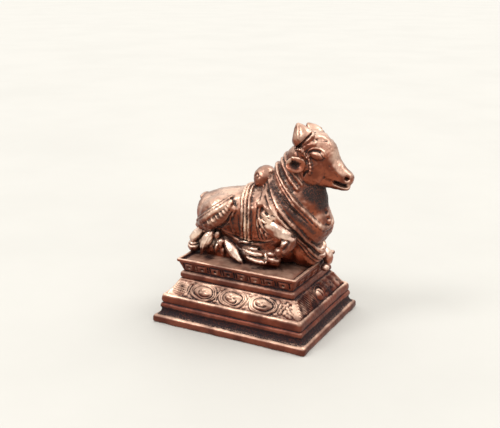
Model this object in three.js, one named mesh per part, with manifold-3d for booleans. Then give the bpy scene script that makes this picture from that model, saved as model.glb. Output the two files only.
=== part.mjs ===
// A small cast copper figure of a recumbent temple bull on a stepped oblong plinth, in millimetres.
// +X runs from the rump to the muzzle, +Y to the bull's left and +Z up.
// The origin is the middle of the plinth's flat underside, so the whole casting stands on z = 0.
// Bull, harness and plinth are one casting, and so they are one mesh.
import * as THREE from "three";
import { mergeVertices } from "three/addons/utils/BufferGeometryUtils.js";
import Module from "manifold-3d";

const wasm = await Module();
wasm.setup();

// Driving dimensions of the plinth.
const LENGTH = 60;
const WIDTH = 48;
const TOP = 22.7;
const RIM_TOP = 23.3;
const CORNER_ROUND = 0.9;
const CORNER_STEPS = 1;

// The plinth's outline from the underside up to the sunk top panel.
// Every point is [inset from the foot's edge, height].
const OUTLINE = {
  lip: [[0.3, 0], [0, 0.5], [0, 2.0], [0.5, 2.6]],
  cove: [[1.3, 2.8], [1.9, 3.6], [2.15, 4.9]],
  lowerRoll: [[1.9, 5.2], [1.85, 6.3], [2.5, 7.0]],
  upperRoll: [[2.45, 7.4], [2.3, 8.6], [2.6, 9.8], [3.2, 10.3], [3.7, 10.2]],
  slope: [[3.7, 10.2], [7.3, 15.5]],
  neckRoll: [[7.9, 15.7], [7.35, 16.6], [7.5, 17.8], [8.3, 18.3]],
  frieze: [[8.3, 18.7], [7.1, 22.0]],
  rim: [[6.6, 22.2], [6.6, 23.0], [7.0, RIM_TOP], [7.7, RIM_TOP], [8.1, TOP]],
};

// Carving on the plinth: square panels round the frieze, medallions on the long slopes and petals on
// the short ones.
const PANEL = { pitch: 5.3, size: 2.9, rise: 0.4, height: 2.1 };
const MEDALLION = {
  at: [-11.5, 0.2, 11.9],
  reach: [4.9, 2.9],
  rope: 0.6,
  boss: [3.0, 1.5],
  plain: [4.2, 2.4],
};
const PETAL = { count: 3, pitch: 3.9, first: 5.4, size: [1.5, 3.5, 1.3], splay: 30 };
const BUD = { size: [2.0, 3.4, 1.6] };
const CARVED = [8, 4];
const CUT_LEAF = [4, 2];
const ROPE_RING = [3, 12];

// The trunk runs from the rump to the chest and the neck rises out of it.
// Every station of a rounded body is [x, y, z, half width, half depth].
const TRUNK = [
  [-21.9, 0, 34.8, 6.4, 7.0],
  [-18.8, 0, 35.6, 8.8, 8.4],
  [-12.0, 0, 37.6, 9.0, 9.0],
  [-3.0, 0, 38.8, 9.8, 9.6],
  [7.0, 0, 39.6, 11.4, 11.0],
  [17.0, 0, 39.4, 11.2, 11.2],
  [27.0, 0, 37.6, 7.4, 7.6],
];
const NECK = [
  [16.0, 0, 36.0, 11.2, 11.2],
  [15.9, 0, 46.0, 9.6, 10.8],
  [16.3, 0, 52.0, 7.6, 9.5],
  [17.3, 0, 57.0, 6.0, 7.8],
  [19.1, 0, 62.5, 5.6, 6.1],
  [20.0, 0, 67.0, 4.6, 3.8],
];
const BELLY = [[-20, 0, 27.5, 6.6, 6], [0, 0, 28, 7.4, 6.5], [17, 0, 28.5, 6.6, 6]];
const HUMP = { at: [3.4, 0, 51.8], half: [4.3, 4.2, 4.9] };
const RUMP = { at: [-19.6, 0, 41.0], half: [2.5, 5.0, 2.1], turn: -10 };
const BRISKET = { at: [19.2, 0, 29.2], half: [6.1, 5.8, 7.4] };
const BREAST = { at: [26.2, 0.8, 35.0], half: [2.8, 4.0, 2.6] };
const HAUNCH = { at: [-11.2, 6.6, 39.4], half: [8.6, 5.6, 6.2], turn: -26 };

// Garlands round the shoulders. Each hangs in a plane through `middle` that falls as it goes forward.
// The front of each rope hangs below that plane by `sag`.
const GARLAND = { steps: 14, sides: 5, sunk: 0.8 };
const UPPER_GARLAND = { middle: [19.3, 47.6], fall: 1.0, ropes: [-0.5], radius: 1.25, sag: 1.6 };
const LOWER_GARLAND = { middle: [17.2, 42.0], fall: 1.02, ropes: [-0.1, -1.9], radius: 1.15, sag: 4.2 };
const COLLAR = { middle: [19.0, 54.2], fall: 1.0, ropes: [-1.0], radius: 1.3, sag: 0 };
const BROAD_BAND = { middle: [17.0, 44.2], fall: 0.9, thick: 3.2, rise: 0.6 };

// The girth's ridges cross the back and both flanks. The flutes in front of it are on the right flank.
const GIRTH = { x: [-0.6, 1.0, 2.7], lean: 0.02, thick: 1.0, rise: 0.8, low: [-60, 31.5], high: [60, 60] };
const FLUTES = { x: [5.6, 7.4], lean: 0.05, thick: 0.9, rise: 0.5, low: [-60, 31.5], high: [0, 43] };

// The crupper runs from the girth round the rump: [height over its line, thickness, rise].
const CRUPPER = { through: [-12.0, 38.3], fall: -0.74, front: -2.6, bottom: 30 };
const CRUPPER_BANDS = [[2.0, 2.8, 0.9], [-2.3, 3.2, 0.6]];

// The head, with its horns, ears and eyes. Stations and places with a y are those of the left side.
const SKULL = [
  [14.8, 0, 66.0, 4.6, 4.6],
  [19.4, 0, 64.6, 6.2, 7.2],
  [23.8, 0, 61.6, 5.9, 7.0],
  [28.0, 0, 58.2, 4.4, 4.5],
  [32.0, 0, 56.1, 3.3, 3.3],
  [35.8, 0, 55.0, 3.2, 3.1],
];
const JAW = [
  [17.4, 0, 58.2, 4.6, 4.8],
  [23.0, 0, 56.0, 5.2, 4.9],
  [28.0, 0, 54.4, 3.2, 2.8],
  [34.8, 0, 52.6, 2.2, 1.9],
];
const RIGHT_HORN = [
  [19.9, 3.4, 66.2, 3.9, 5.0],
  [18.9, 3.6, 69.4, 3.6, 4.2],
  [17.5, 3.7, 72.0, 2.0, 2.3],
  [16.9, 3.6, 73.4, 0.9, 0.9],
];
const LEFT_HORN = [
  [20.4, 3.0, 65.4, 4.2, 4.2],
  [19.3, 3.9, 68.8, 3.5, 3.6],
  [17.2, 3.6, 72.3, 0.9, 0.9],
];
const EAR = [
  [21.2, 5.8, 60.1, 1.9, 2.3],
  [18.8, 8.0, 60.1, 1.7, 2.8],
  [16.8, 8.8, 60.5, 1.4, 2.6],
  [15.4, 9.0, 61.0, 0.8, 1.4],
];
const EAR_HOLLOW = { at: [18.0, 9.8, 60.4], half: [2.6, 1.4, 1.8] };
const CHEEK = { at: [22.6, 3.4, 58.2], half: [4.7, 3.5, 6.4], turn: 24 };
const EYE = { at: [24.7, 5.1, 63.6], half: [2.8, 1.9, 1.75], turn: 10 };
const NOSTRIL = { at: [35.0, 2.7, 56.2], half: [1.2, 1.0, 1.0] };
const MOUTH = { through: [34.0, 54.0], fall: 0.12, thick: 0.7, from: 31.2 };
const JEWEL = { at: [25.7, 0, 67.7], half: [1.7, 2.4, 0.9], turn: 40 };
const BELLS = { from: [25.5, 46.1], to: [27.5, 39.8], count: 4, radius: 0.95 };

// The legs, folded over the plinth's top.
const SHOULDER = { at: [11.0, 9.0, 41.2], half: [4.6, 3.0, 5.4], turn: 24 };
const KNOB = { at: [6.6, 10.4, 45.7], half: [1.3, 1.4, 1.15] };
const UPPER_ARM = [
  [9.4, 9.6, 39.4, 2.6, 3.0],
  [14.2, 11.0, 37.2, 2.4, 2.7],
  [19.6, 11.6, 34.8, 2.1, 2.2],
];
const SHIN = [
  [18.4, 11.6, 35.2, 1.9, 2.7],
  [16.9, 11.4, 31.6, 1.8, 2.1],
  [15.3, 10.8, 28.6, 1.4, 1.2],
];
const FETLOCK = { at: [13.9, 10.6, 29.6], half: [1.6, 1.6, 2.0], turn: 24 };
const FORE_HOOF = [
  { at: [11.0, 9.9, 28.4], half: [2.1, 1.9, 1.2] },
  { at: [11.6, 9.8, 26.4], half: [2.7, 2.1, 1.5] },
];
const TOES = [
  [[-1.4, 8.8, 28.4, 1.2, 0.45], [3.2, 9.8, 27.7, 1.6, 0.95], [7.6, 9.8, 27.5, 1.4, 0.95]],
  [[1.2, 9.8, 26.0, 1.2, 0.45], [5.6, 10.8, 25.4, 1.6, 0.9], [9.9, 10.6, 25.2, 1.4, 0.9]],
];
const FORE_PAD = [[-4, 6, 25, 2, 3], [5, 7, 25, 2.4, 3.2], [13, 7.6, 25.6, 2, 3.0]];
const HOCK = [
  [-16.6, 6.4, 34.0, 2.0, 1.6],
  [-19.8, 7.2, 30.6, 2.3, 1.75],
  [-22.8, 7.2, 27.4, 2.3, 1.8],
];
const HEEL = { at: [-22.0, 7.0, 24.8], half: [2.4, 2.5, 1.75] };
const TUFT = [
  [-13.1, 8.2, 33.4, 1.2, 1.2],
  [-15.6, 9.4, 28.9, 1.5, 1.65],
  [-18.4, 9.0, 22.6, 0.4, 0.5],
];
const HIND_HOOF = [
  [-8.4, 8.4, 30.4, 1.2, 1.4],
  [-4.4, 9.9, 26.7, 1.6, 1.9],
  [0.2, 10.5, 22.5, 0.4, 0.5],
];
const TAIL_CURLS = [
  { at: [-11.4, 8.6, 31.0], half: [1.0, 1.4, 2.0] },
  { at: [-9.7, 8.8, 27.4], half: [1.1, 1.5, 2.2] },
];
const HIND_PAD = [[-22.0, 4.8, 27, 3.2, 4.6], [-11, 5.5, 26.4, 2.8, 5], [-2, 6, 25, 2, 3.2]];
const LEFT_FORELEG = [
  [13, 6.2, 31, 3.0, 3.2],
  [20, 6.4, 28.6, 2.6, 2.6],
  [25.2, 6.2, 26.6, 2.3, 2.0],
  [25.4, 5.4, 22.4, 1.6, 1.5],
];
const FAR_HOOF = { at: [25.1, 3.9, 21.5], half: [1.5, 1.8, 1.35] };
const GARLAND_END = { at: [23.9, 0.4, 28.2], half: [2.3, 2.3, 2.4] };

// How finely the rounded pieces are faceted: [sides, rings].
const LARGE = [14, 10];
const MIDDLING = [12, 8];
const USUAL = [10, 6];
const SMALL = [8, 5];
const TINY = [6, 4];

// The copper's colour and sheen.
const COPPER = { color: 0x9a5138, roughness: 0.38, metalness: 0.9 };

const ACROSS = new THREE.Vector3(0, 1, 0);
const LEFT = 1;
const RIGHT = -1;
const FAR_OUT = 60;
const MERGE_WITHIN = 1e-4;
const ALMOST_ZERO = 1e-6;

// A closed geometry as a solid that can be joined and cut.
function solid(geometry) {
  const bare = geometry.index ? geometry.toNonIndexed() : geometry.clone();
  bare.deleteAttribute("normal");
  bare.deleteAttribute("uv");
  const merged = mergeVertices(bare, MERGE_WITHIN);
  const kept = [];
  const index = merged.index.array;
  for (let i = 0; i < index.length; i += 3) {
    const [a, b, c] = [index[i], index[i + 1], index[i + 2]];
    if (a !== b && b !== c && c !== a) kept.push(a, b, c);
  }
  return new wasm.Manifold(
    new wasm.Mesh({
      numProp: 3,
      vertProperties: merged.attributes.position.array,
      triVerts: new Uint32Array(kept),
    }),
  );
}

// A solid's surface as a geometry.
function surface(body) {
  const { numProp, vertProperties, triVerts } = body.getMesh();
  const positions = new Float32Array((vertProperties.length / numProp) * 3);
  for (let i = 0; i < positions.length / 3; i++) {
    positions.set(vertProperties.subarray(i * numProp, i * numProp + 3), i * 3);
  }
  return new THREE.BufferGeometry()
    .setAttribute("position", new THREE.BufferAttribute(positions, 3))
    .setIndex(new THREE.BufferAttribute(triVerts, 1));
}

// Joining rounded pieces can leave small sealed pockets between them.
// The outer shell alone is the solid casting.
function outerShell(geometry) {
  const index = geometry.index.array;
  const root = Array.from({ length: geometry.getAttribute("position").count }, (_, i) => i);
  const rootOf = (i) => {
    while (root[i] !== i) i = root[i] = root[root[i]];
    return i;
  };
  for (let i = 0; i < index.length; i += 3) {
    root[rootOf(index[i])] = rootOf(index[i + 1]);
    root[rootOf(index[i + 1])] = rootOf(index[i + 2]);
  }
  const faces = Array.from({ length: index.length / 3 }, (_, face) => 3 * face);
  const shells = [...Map.groupBy(faces, (i) => rootOf(index[i])).values()];
  const largest = shells.sort((a, b) => b.length - a.length)[0];
  const kept = largest.flatMap((i) => [...index.subarray(i, i + 3)]);
  return mergeVertices(geometry.setIndex(kept).toNonIndexed());
}

// Joins a list of solids into one.
function join(solids) {
  return solids.reduce((whole, piece) => whole.add(piece));
}

// Moves every vertex of a geometry through a function of its place.
function reshape(geometry, move) {
  const places = geometry.getAttribute("position");
  const p = new THREE.Vector3();
  for (let i = 0; i < places.count; i++) {
    move(p.fromBufferAttribute(places, i));
    places.setXYZ(i, p.x, p.y, p.z);
  }
  return geometry;
}

// A rounded body whose rings are strung along a smooth spine through its stations.
// The width is measured along Y and the depth at right angles to it and to the spine.
// `blunt` makes the ends fuller, `square` makes the section boxier and `grow` thickens the whole.
function swell(stations, { facets = USUAL, blunt = 3, square = 2, grow = 0, side = LEFT } = {}) {
  const [sides, rings] = facets;
  const places = stations.map(([x, y, z]) => new THREE.Vector3(x, side * y, z));
  const halves = stations.map(([, , , wide, deep]) => new THREE.Vector3(wide, deep, 0));
  const [spine, girths] = [places, halves].map((points) =>
    new THREE.CatmullRomCurve3(points, false, "catmullrom", 0.5));
  return solid(reshape(new THREE.SphereGeometry(1, sides, rings), (p) => {
    const t = THREE.MathUtils.clamp((1 - p.y) / 2, 0, 1);
    const out = Math.hypot(p.x, p.z);
    const tip = out < ALMOST_ZERO;
    const [c, s] = tip ? [0, 0] : [p.x / out, p.z / out];
    const boxy = tip ? 0 : (Math.abs(c) ** square + Math.abs(s) ** square) ** (-1 / square);
    const full = tip ? 0 : (1 - Math.abs(2 * t - 1) ** blunt) ** (1 / blunt) * boxy;
    const along = spine.getTangent(t);
    const aside = ACROSS.clone().addScaledVector(along, -ACROSS.dot(along)).normalize();
    const rise = along.clone().cross(aside);
    const half = girths.getPoint(t);
    p.copy(spine.getPoint(t))
      .addScaledVector(along, grow * (2 * t - 1))
      .addScaledVector(aside, c * full * (half.x + grow))
      .addScaledVector(rise, s * full * (half.y + grow));
  }));
}

// An ellipsoid with three half sizes, turned about Y by some degrees.
function lump({ at: [x, y, z], half, turn = 0 }, { side = LEFT, grow = 0, facets = USUAL } = {}) {
  const geometry = new THREE.SphereGeometry(1, ...facets);
  geometry.scale(...half.map((size) => size + grow));
  geometry.rotateY(THREE.MathUtils.degToRad(turn));
  geometry.translate(x, side * y, z);
  return solid(geometry);
}

// A box between two corners.
function block(low, high) {
  const box = new THREE.BoxGeometry(high[0] - low[0], high[1] - low[1], high[2] - low[2]);
  box.translate((low[0] + high[0]) / 2, (low[1] + high[1]) / 2, (low[2] + high[2]) / 2);
  return solid(box);
}

// A flat layer through [x, z] that falls by `fall` for each step forward.
function layer([x, z], fall, thick) {
  const slab = new THREE.BoxGeometry(2 * FAR_OUT, FAR_OUT, thick);
  slab.rotateY(Math.atan(fall));
  slab.translate(x, 0, z);
  return solid(slab);
}

// The plinth's mouldings: a lathe whose rings are pulled out to rounded oblongs.
function mouldings() {
  const points = Object.values(OUTLINE).flat();
  const outline = points.filter((point, i) => String(point) !== String(points[i - 1]));
  const cornerSteps = CORNER_STEPS + 1;
  const sides = 4 * cornerSteps;
  const closed = [[LENGTH, 0], ...outline, [LENGTH, TOP]];
  const profile = closed.map(([inset, z]) => new THREE.Vector2(LENGTH - inset, z));
  const lathe = new THREE.LatheGeometry(profile, sides);
  lathe.rotateX(Math.PI / 2);
  reshape(lathe, (p) => {
    const reach = Math.hypot(p.x, p.y);
    if (reach < ALMOST_ZERO) return;
    const inset = LENGTH - reach;
    const step = Math.round((Math.atan2(p.y, p.x) / (2 * Math.PI)) * sides + sides) % sides;
    const quarter = Math.floor(step / cornerSteps);
    const angle = (quarter + (step % cornerSteps) / CORNER_STEPS) * (Math.PI / 2);
    const [sx, sy] = [[1, 1], [-1, 1], [-1, -1], [1, -1]][quarter];
    p.x = sx * (LENGTH / 2 - CORNER_ROUND - inset) + CORNER_ROUND * Math.cos(angle);
    p.y = sy * (WIDTH / 2 - CORNER_ROUND - inset) + CORNER_ROUND * Math.sin(angle);
  });
  return solid(lathe);
}

// Carries a geometry from its drawing plane, with X along a side and Y up it, onto a sloping face of
// the plinth. `low` and `high` are the face's edges as [inset, height], and `turn` is the side's quarter
// turn from the front.
function ontoFace(geometry, [low, high], along, turn) {
  const reach = turn % 2 === 0 ? LENGTH / 2 : WIDTH / 2;
  const middle = [(low[0] + high[0]) / 2, (low[1] + high[1]) / 2];
  const back = Math.atan2(high[0] - low[0], high[1] - low[1]);
  geometry.translate(along, 0, 0);
  geometry.rotateX(Math.PI / 2 - back);
  geometry.rotateZ(Math.PI / 2);
  geometry.translate(reach - middle[0], 0, middle[1]);
  geometry.rotateZ(turn * (Math.PI / 2));
  return solid(geometry);
}

const SLOPE_FACE = OUTLINE.slope;
const FRIEZE_FACE = OUTLINE.frieze;
const [FRONT, LEFT_SIDE, REAR, RIGHT_SIDE] = [0, 1, 2, 3];

// Square panels along one side of the frieze.
function panels(turn) {
  const length = (turn % 2 === 0 ? WIDTH : LENGTH) - 2 * FRIEZE_FACE[0][0];
  const count = Math.floor(length / PANEL.pitch);
  return Array.from({ length: count }, (_, i) => {
    const along = (i - (count - 1) / 2) * PANEL.pitch;
    const tile = new THREE.BoxGeometry(PANEL.size, PANEL.height, 2 * PANEL.rise);
    return ontoFace(tile, FRIEZE_FACE, along, turn);
  });
}

// A ringed medallion with a boss, or a plain one.
function medallion(along, turn, plain) {
  const middle = new THREE.SphereGeometry(1, ...CARVED);
  middle.rotateX(Math.PI / 2);
  middle.scale(...(plain ? MEDALLION.plain : MEDALLION.boss), 1);
  if (plain) return [ontoFace(middle, SLOPE_FACE, along, turn)];
  const { reach, rope } = MEDALLION;
  const ring = new THREE.TorusGeometry(1, rope / reach[1], ...ROPE_RING);
  ring.scale(...reach, reach[1]);
  return [ring, middle].map((geometry) => ontoFace(geometry, SLOPE_FACE, along, turn));
}

// A bud at the middle of a short side.
function bud(turn) {
  return ontoFace(new THREE.SphereGeometry(1, ...CARVED).scale(...BUD.size), SLOPE_FACE, 0, turn);
}

// Petals fanned out on both sides of a bud.
function petals(turn) {
  return [LEFT, RIGHT].flatMap((side) => Array.from({ length: PETAL.count }, (_, i) => {
    const leaf = new THREE.SphereGeometry(1, ...CUT_LEAF);
    leaf.scale(...PETAL.size);
    leaf.rotateZ(-side * THREE.MathUtils.degToRad(PETAL.splay));
    return ontoFace(leaf, SLOPE_FACE, side * (PETAL.first + i * PETAL.pitch), turn);
  }));
}

function plinth() {
  const sides = [FRONT, LEFT_SIDE, REAR, RIGHT_SIDE];
  return join([
    mouldings(),
    ...sides.flatMap(panels),
    ...MEDALLION.at.flatMap((along) => medallion(along, RIGHT_SIDE, false)),
    ...MEDALLION.at.flatMap((along) => medallion(along, LEFT_SIDE, true)),
    bud(FRONT),
    ...petals(FRONT),
    bud(REAR),
  ]);
}

function trunk(grow = 0) {
  return swell(TRUNK, { facets: LARGE, blunt: 4.5, square: 2.2, grow });
}

function torso(grow = 0) {
  return join([
    trunk(grow),
    swell(NECK, { facets: MIDDLING, blunt: 5, grow }),
    lump(BRISKET, { grow }),
    lump(BREAST, { grow, facets: SMALL }),
  ]);
}

function haunches(grow = 0) {
  return join([LEFT, RIGHT].map((side) => lump(HAUNCH, { side, grow })));
}

// A ring of points on the torso in a leaning plane, found by looking inwards at it from outside.
// Its front hangs below the plane by `sag`.
const BARE_TORSO = new THREE.Mesh(surface(torso()));

function drape([x, z], fall, lift, sag) {
  const forward = new THREE.Vector3(1, 0, -fall).normalize();
  const looking = new THREE.Raycaster();
  return Array.from({ length: GARLAND.steps }, (_, i) => {
    const angle = (i / GARLAND.steps) * 2 * Math.PI;
    const middle = new THREE.Vector3(x, 0, z - sag * Math.max(Math.cos(angle), 0) ** 3);
    const ahead = forward.clone().multiplyScalar(Math.cos(angle));
    const outward = ahead.addScaledVector(ACROSS, Math.sin(angle));
    looking.set(middle.addScaledVector(outward, FAR_OUT), outward.clone().negate());
    return looking.intersectObject(BARE_TORSO)[0].point.addScaledVector(outward, lift);
  });
}

// Ropes side by side on the torso, all the way round it.
function garland({ middle, fall, ropes, radius, sag }) {
  const aside = new THREE.Vector2(fall, 1).normalize();
  const lift = radius * (1 - GARLAND.sunk);
  return join(ropes.map((step) => {
    const centre = [middle[0] + aside.x * step, middle[1] + aside.y * step];
    const path = new THREE.CatmullRomCurve3(drape(centre, fall, lift, sag), true);
    return solid(new THREE.TubeGeometry(path, GARLAND.steps, radius, GARLAND.sides, true));
  }));
}

function broadBand({ middle, fall, thick, rise }) {
  return torso(rise).intersect(layer(middle, fall, thick));
}

function girth({ x, lean, thick, rise, low, high }) {
  const strips = x.map((at) => {
    const slab = new THREE.BoxGeometry(thick, FAR_OUT, FAR_OUT);
    slab.rotateY(-lean);
    slab.translate(at, 0, (low[1] + high[1]) / 2);
    return solid(slab);
  });
  return join(strips).intersect(trunk(rise)).intersect(block([-FAR_OUT, ...low], [FAR_OUT, ...high]));
}

function crupper() {
  const [x, z] = CRUPPER.through;
  const behind = block([-FAR_OUT, -FAR_OUT, CRUPPER.bottom], [CRUPPER.front, FAR_OUT, FAR_OUT]);
  return join(CRUPPER_BANDS.map(([over, thick, rise]) => {
    const strap = layer([x, z + over], CRUPPER.fall, thick).intersect(behind);
    return trunk(rise).add(haunches(rise)).intersect(strap);
  }));
}

// A pair of lumps, or of swollen shapes, one on each side.
function pair(shape, options = {}) {
  return [LEFT, RIGHT].map((side) =>
    Array.isArray(shape) ? swell(shape, { ...options, side }) : lump(shape, { ...options, side }));
}

function head() {
  const mouth = layer(MOUTH.through, MOUTH.fall, MOUTH.thick)
    .intersect(block([MOUTH.from, -FAR_OUT, 0], [FAR_OUT, FAR_OUT, FAR_OUT]));
  const face = swell(SKULL, { facets: [12, 10], blunt: 3.2, square: 2.3 })
    .add(swell(JAW, { blunt: 4 }))
    .subtract(join([...pair(NOSTRIL, { facets: TINY }), mouth]));
  const ears = join(pair(EAR, { facets: SMALL, blunt: 3.2 }))
    .subtract(join(pair(EAR_HOLLOW, { facets: SMALL })));
  return join([
    face,
    ears,
    swell(LEFT_HORN, { side: LEFT, facets: SMALL, blunt: 2.6 }),
    swell(RIGHT_HORN, { side: RIGHT, facets: [10, 8], blunt: 3.2 }),
    lump(JEWEL, { facets: SMALL }),
    ...pair(EYE, { facets: SMALL }),
    ...pair(CHEEK),
  ]);
}

// A row of small bells down the chest.
function bells() {
  const { from, to, count, radius } = BELLS;
  return join(Array.from({ length: count }, (_, i) => {
    const [x, z] = from.map((start, axis) => start + ((to[axis] - start) * i) / (count - 1));
    return lump({ at: [x, 0, z], half: [radius, radius * 1.2, radius] }, { facets: TINY });
  }));
}

// The right foreleg is folded, with the knee forward and the hoof turned back below it.
function rightForeleg() {
  const side = RIGHT;
  return join([
    lump(SHOULDER, { side }),
    lump(KNOB, { side, facets: TINY }),
    swell(UPPER_ARM, { side, blunt: 5, square: 2.6 }),
    swell(SHIN, { side, blunt: 4.5 }),
    lump(FETLOCK, { side, facets: SMALL }),
    ...FORE_HOOF.map((hoof) => lump(hoof, { side, facets: SMALL })),
    ...TOES.map((toe) => swell(toe, { side, facets: SMALL, blunt: 3.4 })),
    swell(FORE_PAD, { side, blunt: 5 }),
  ]);
}

// The hock, the tail's tuft and curls, and the hind hoof fan out over the plinth's top.
function hindLeg(side, curls) {
  return join([
    swell(HOCK, { side, blunt: 4.5, square: 2.8 }),
    lump(HEEL, { side, facets: SMALL }),
    swell(TUFT, { side, facets: SMALL }),
    swell(HIND_HOOF, { side, facets: SMALL }),
    swell(HIND_PAD, { side, blunt: 5 }),
    ...curls.map((curl) => lump(curl, { side, facets: TINY })),
  ]);
}

function bull() {
  return join([
    torso(),
    haunches(),
    lump(HUMP),
    lump(RUMP, { facets: SMALL }),
    swell(BELLY, { blunt: 5 }),
    garland(UPPER_GARLAND),
    garland(LOWER_GARLAND),
    garland(COLLAR),
    broadBand(BROAD_BAND),
    girth(GIRTH),
    girth(FLUTES),
    crupper(),
    bells(),
    head(),
    rightForeleg(),
    hindLeg(RIGHT, TAIL_CURLS),
    hindLeg(LEFT, []),
    swell(LEFT_FORELEG, { blunt: 4 }),
    lump(FAR_HOOF, { facets: SMALL }),
    lump(GARLAND_END, { facets: SMALL }),
  ]);
}

const casting = outerShell(surface(plinth().add(bull())));
const figure = new THREE.Mesh(casting, new THREE.MeshStandardMaterial(COPPER));
figure.name = "nandi_figure";

const group = new THREE.Group();
group.add(figure);

export default group;
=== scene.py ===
"""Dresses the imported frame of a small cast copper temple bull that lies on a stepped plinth.

Shapes are worked in millimetres and brought to metres when a piece is finished.
+X runs from the rump to the muzzle, +Y to the bull's left and +Z up.
Forms and strokes that lie off the middle are given for the left side and mirrored to the right.
"""

import logging
import math
from dataclasses import dataclass, replace
from enum import Enum

import bmesh
import bpy
import numpy as np
from mathutils import Matrix, Vector, noise
from mathutils.bvhtree import BVHTree
from mathutils.kdtree import KDTree


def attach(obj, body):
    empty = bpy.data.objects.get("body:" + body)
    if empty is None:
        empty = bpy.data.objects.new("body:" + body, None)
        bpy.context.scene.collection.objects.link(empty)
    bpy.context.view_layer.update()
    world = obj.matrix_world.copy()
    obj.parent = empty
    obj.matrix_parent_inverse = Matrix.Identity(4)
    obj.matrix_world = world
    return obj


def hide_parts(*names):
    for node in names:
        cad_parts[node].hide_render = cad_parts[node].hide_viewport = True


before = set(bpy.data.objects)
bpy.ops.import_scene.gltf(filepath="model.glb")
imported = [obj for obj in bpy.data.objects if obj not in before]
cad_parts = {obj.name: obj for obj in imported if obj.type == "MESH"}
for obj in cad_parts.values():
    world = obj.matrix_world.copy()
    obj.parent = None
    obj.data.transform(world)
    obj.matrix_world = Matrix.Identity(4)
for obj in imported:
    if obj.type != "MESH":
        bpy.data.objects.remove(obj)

log = logging.getLogger("temple_bull")

Point2 = tuple[float, float]
Point3 = tuple[float, float, float]
Station = tuple[float, float, float, float, float]
Laid = tuple[np.ndarray, np.ndarray]
Feed = bpy.types.NodeSocket | float | tuple[float, ...]

MM = 0.001
TINY = 1e-6
NODE = "nandi_figure"
BODY = "root"
ACROSS = np.array([0.0, 1.0, 0.0])
OUTSIDE = 60.0  # Millimetres from the middle, past every form
LEAN = 0.6  # How far the outward direction of a laid rope is turned to its flank
QUICK_GRAIN = 1.5


class Side(Enum):
    """A flank of the bull."""

    LEFT = 1.0
    RIGHT = -1.0


LEFT_ONLY = (Side.LEFT,)
RIGHT_ONLY = (Side.RIGHT,)
BOTH = (Side.LEFT, Side.RIGHT)


def unit(vector: np.ndarray) -> np.ndarray:
    """Vectors of length one, along the last axis."""
    return vector / np.maximum(np.linalg.norm(vector, axis=-1, keepdims=True), 1e-12)


def spline(points: np.ndarray, at: np.ndarray, closed: bool = False) -> np.ndarray:
    """A smooth curve through points.

    Args:
        points: One row for each point.
        at: Places along the curve, from 0 at the first point to 1 at the last.
        closed: Whether the curve goes on from the last point to the first.

    Returns:
        One row for each place.
    """
    count = len(points) if closed else len(points) - 1
    span = np.asarray(at) * count
    index = np.clip(np.floor(span).astype(int), 0, count - 1)
    f = (span - index)[:, None]
    if closed:
        a, b, c, d = (points[(index + step) % count] for step in (-1, 0, 1, 2))
    else:
        longer = np.vstack([2 * points[0] - points[1], points, 2 * points[-1] - points[-2]])
        a, b, c, d = (longer[index + step] for step in range(4))
    return b + 0.5 * f * (c - a + f * (2 * a - 5 * b + 4 * c - d + f * (3 * (b - c) + d - a)))


def bump(x: np.ndarray) -> np.ndarray:
    """A smooth hump that is 1 at 0 and falls to 0 at -1 and 1."""
    return np.clip(1 - x * x, 0, 1) ** 2


def dome(x: np.ndarray) -> np.ndarray:
    """A half ball that is 1 at 0 and falls to 0 at -1 and 1."""
    return np.sqrt(np.clip(1 - x * x, 0, 1))


def waves(x: np.ndarray, pitch: float) -> np.ndarray:
    """Waves from 0 to 1, a pitch apart."""
    return 0.5 + 0.5 * np.cos(x * math.tau / pitch)


def ease(x: np.ndarray, low: float, high: float) -> np.ndarray:
    """A smooth step from 0 at low to 1 at high."""
    t = np.clip((x - low) / (high - low), 0, 1)
    return t * t * (3 - 2 * t)


def boxed(c: np.ndarray, s: np.ndarray, square: float, middle: np.ndarray) -> np.ndarray:
    """The reach of a boxy section in the direction of a cosine and a sine, or 1 in the middle."""
    return (np.abs(c) ** square + np.abs(s) ** square + middle) ** (-1 / square)


def to_path(places: np.ndarray, path: np.ndarray) -> tuple[np.ndarray, np.ndarray]:
    """The distance from places to a jointed line.

    Args:
        places: One row for each place.
        path: One row for each joint of the line.

    Returns:
        The distances, and how far along the line the nearest point is, from 0 to 1.
    """
    best = np.full(len(places), 1e9)
    along = np.zeros(len(places))
    for i, (a, b) in enumerate(zip(path[:-1], path[1:])):
        leg = b - a
        t = np.clip(((places - a) @ leg) / max(float(leg @ leg), 1e-12), 0, 1)
        apart = np.linalg.norm(places - a - t[:, None] * leg, axis=1)
        nearer = apart < best
        best = np.where(nearer, apart, best)
        along = np.where(nearer, (i + t) / (len(path) - 1), along)
    return best, along


def coords(shape: bmesh.types.BMesh) -> np.ndarray:
    """The places of a shape's vertices."""
    return np.array([vert.co for vert in shape.verts])


def move_to(shape: bmesh.types.BMesh, places: np.ndarray) -> None:
    """Moves a shape's vertices to new places."""
    for vert, place in zip(shape.verts, places):
        vert.co = place


def poured(shape: bmesh.types.BMesh, name: str) -> bpy.types.Mesh:
    """Turns a shape into a mesh.

    Args:
        shape: The shape, which is freed.
        name: The mesh's name.

    Returns:
        The mesh.
    """
    mesh = bpy.data.meshes.new(name)
    shape.to_mesh(mesh)
    shape.free()
    return mesh


def placed(name: str, data: bpy.types.ID) -> bpy.types.Object:
    """Sets an object in the scene.

    Args:
        name: Its name.
        data: Its mesh, lamp or camera.

    Returns:
        The object.
    """
    thing = bpy.data.objects.new(name, data)
    bpy.context.scene.collection.objects.link(thing)
    return thing


def rows_of(items: bpy.types.bpy_prop_collection, name: str, width: int, kind: type = float) -> np.ndarray:
    """Reads one property of a mesh's parts.

    Args:
        items: The parts, such as its vertices.
        name: The property.
        width: How many numbers it holds.
        kind: Their type.

    Returns:
        One row for each part.
    """
    values = np.empty(len(items) * width, dtype=kind)
    items.foreach_get(name, values)
    return values.reshape(-1, width)


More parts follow.
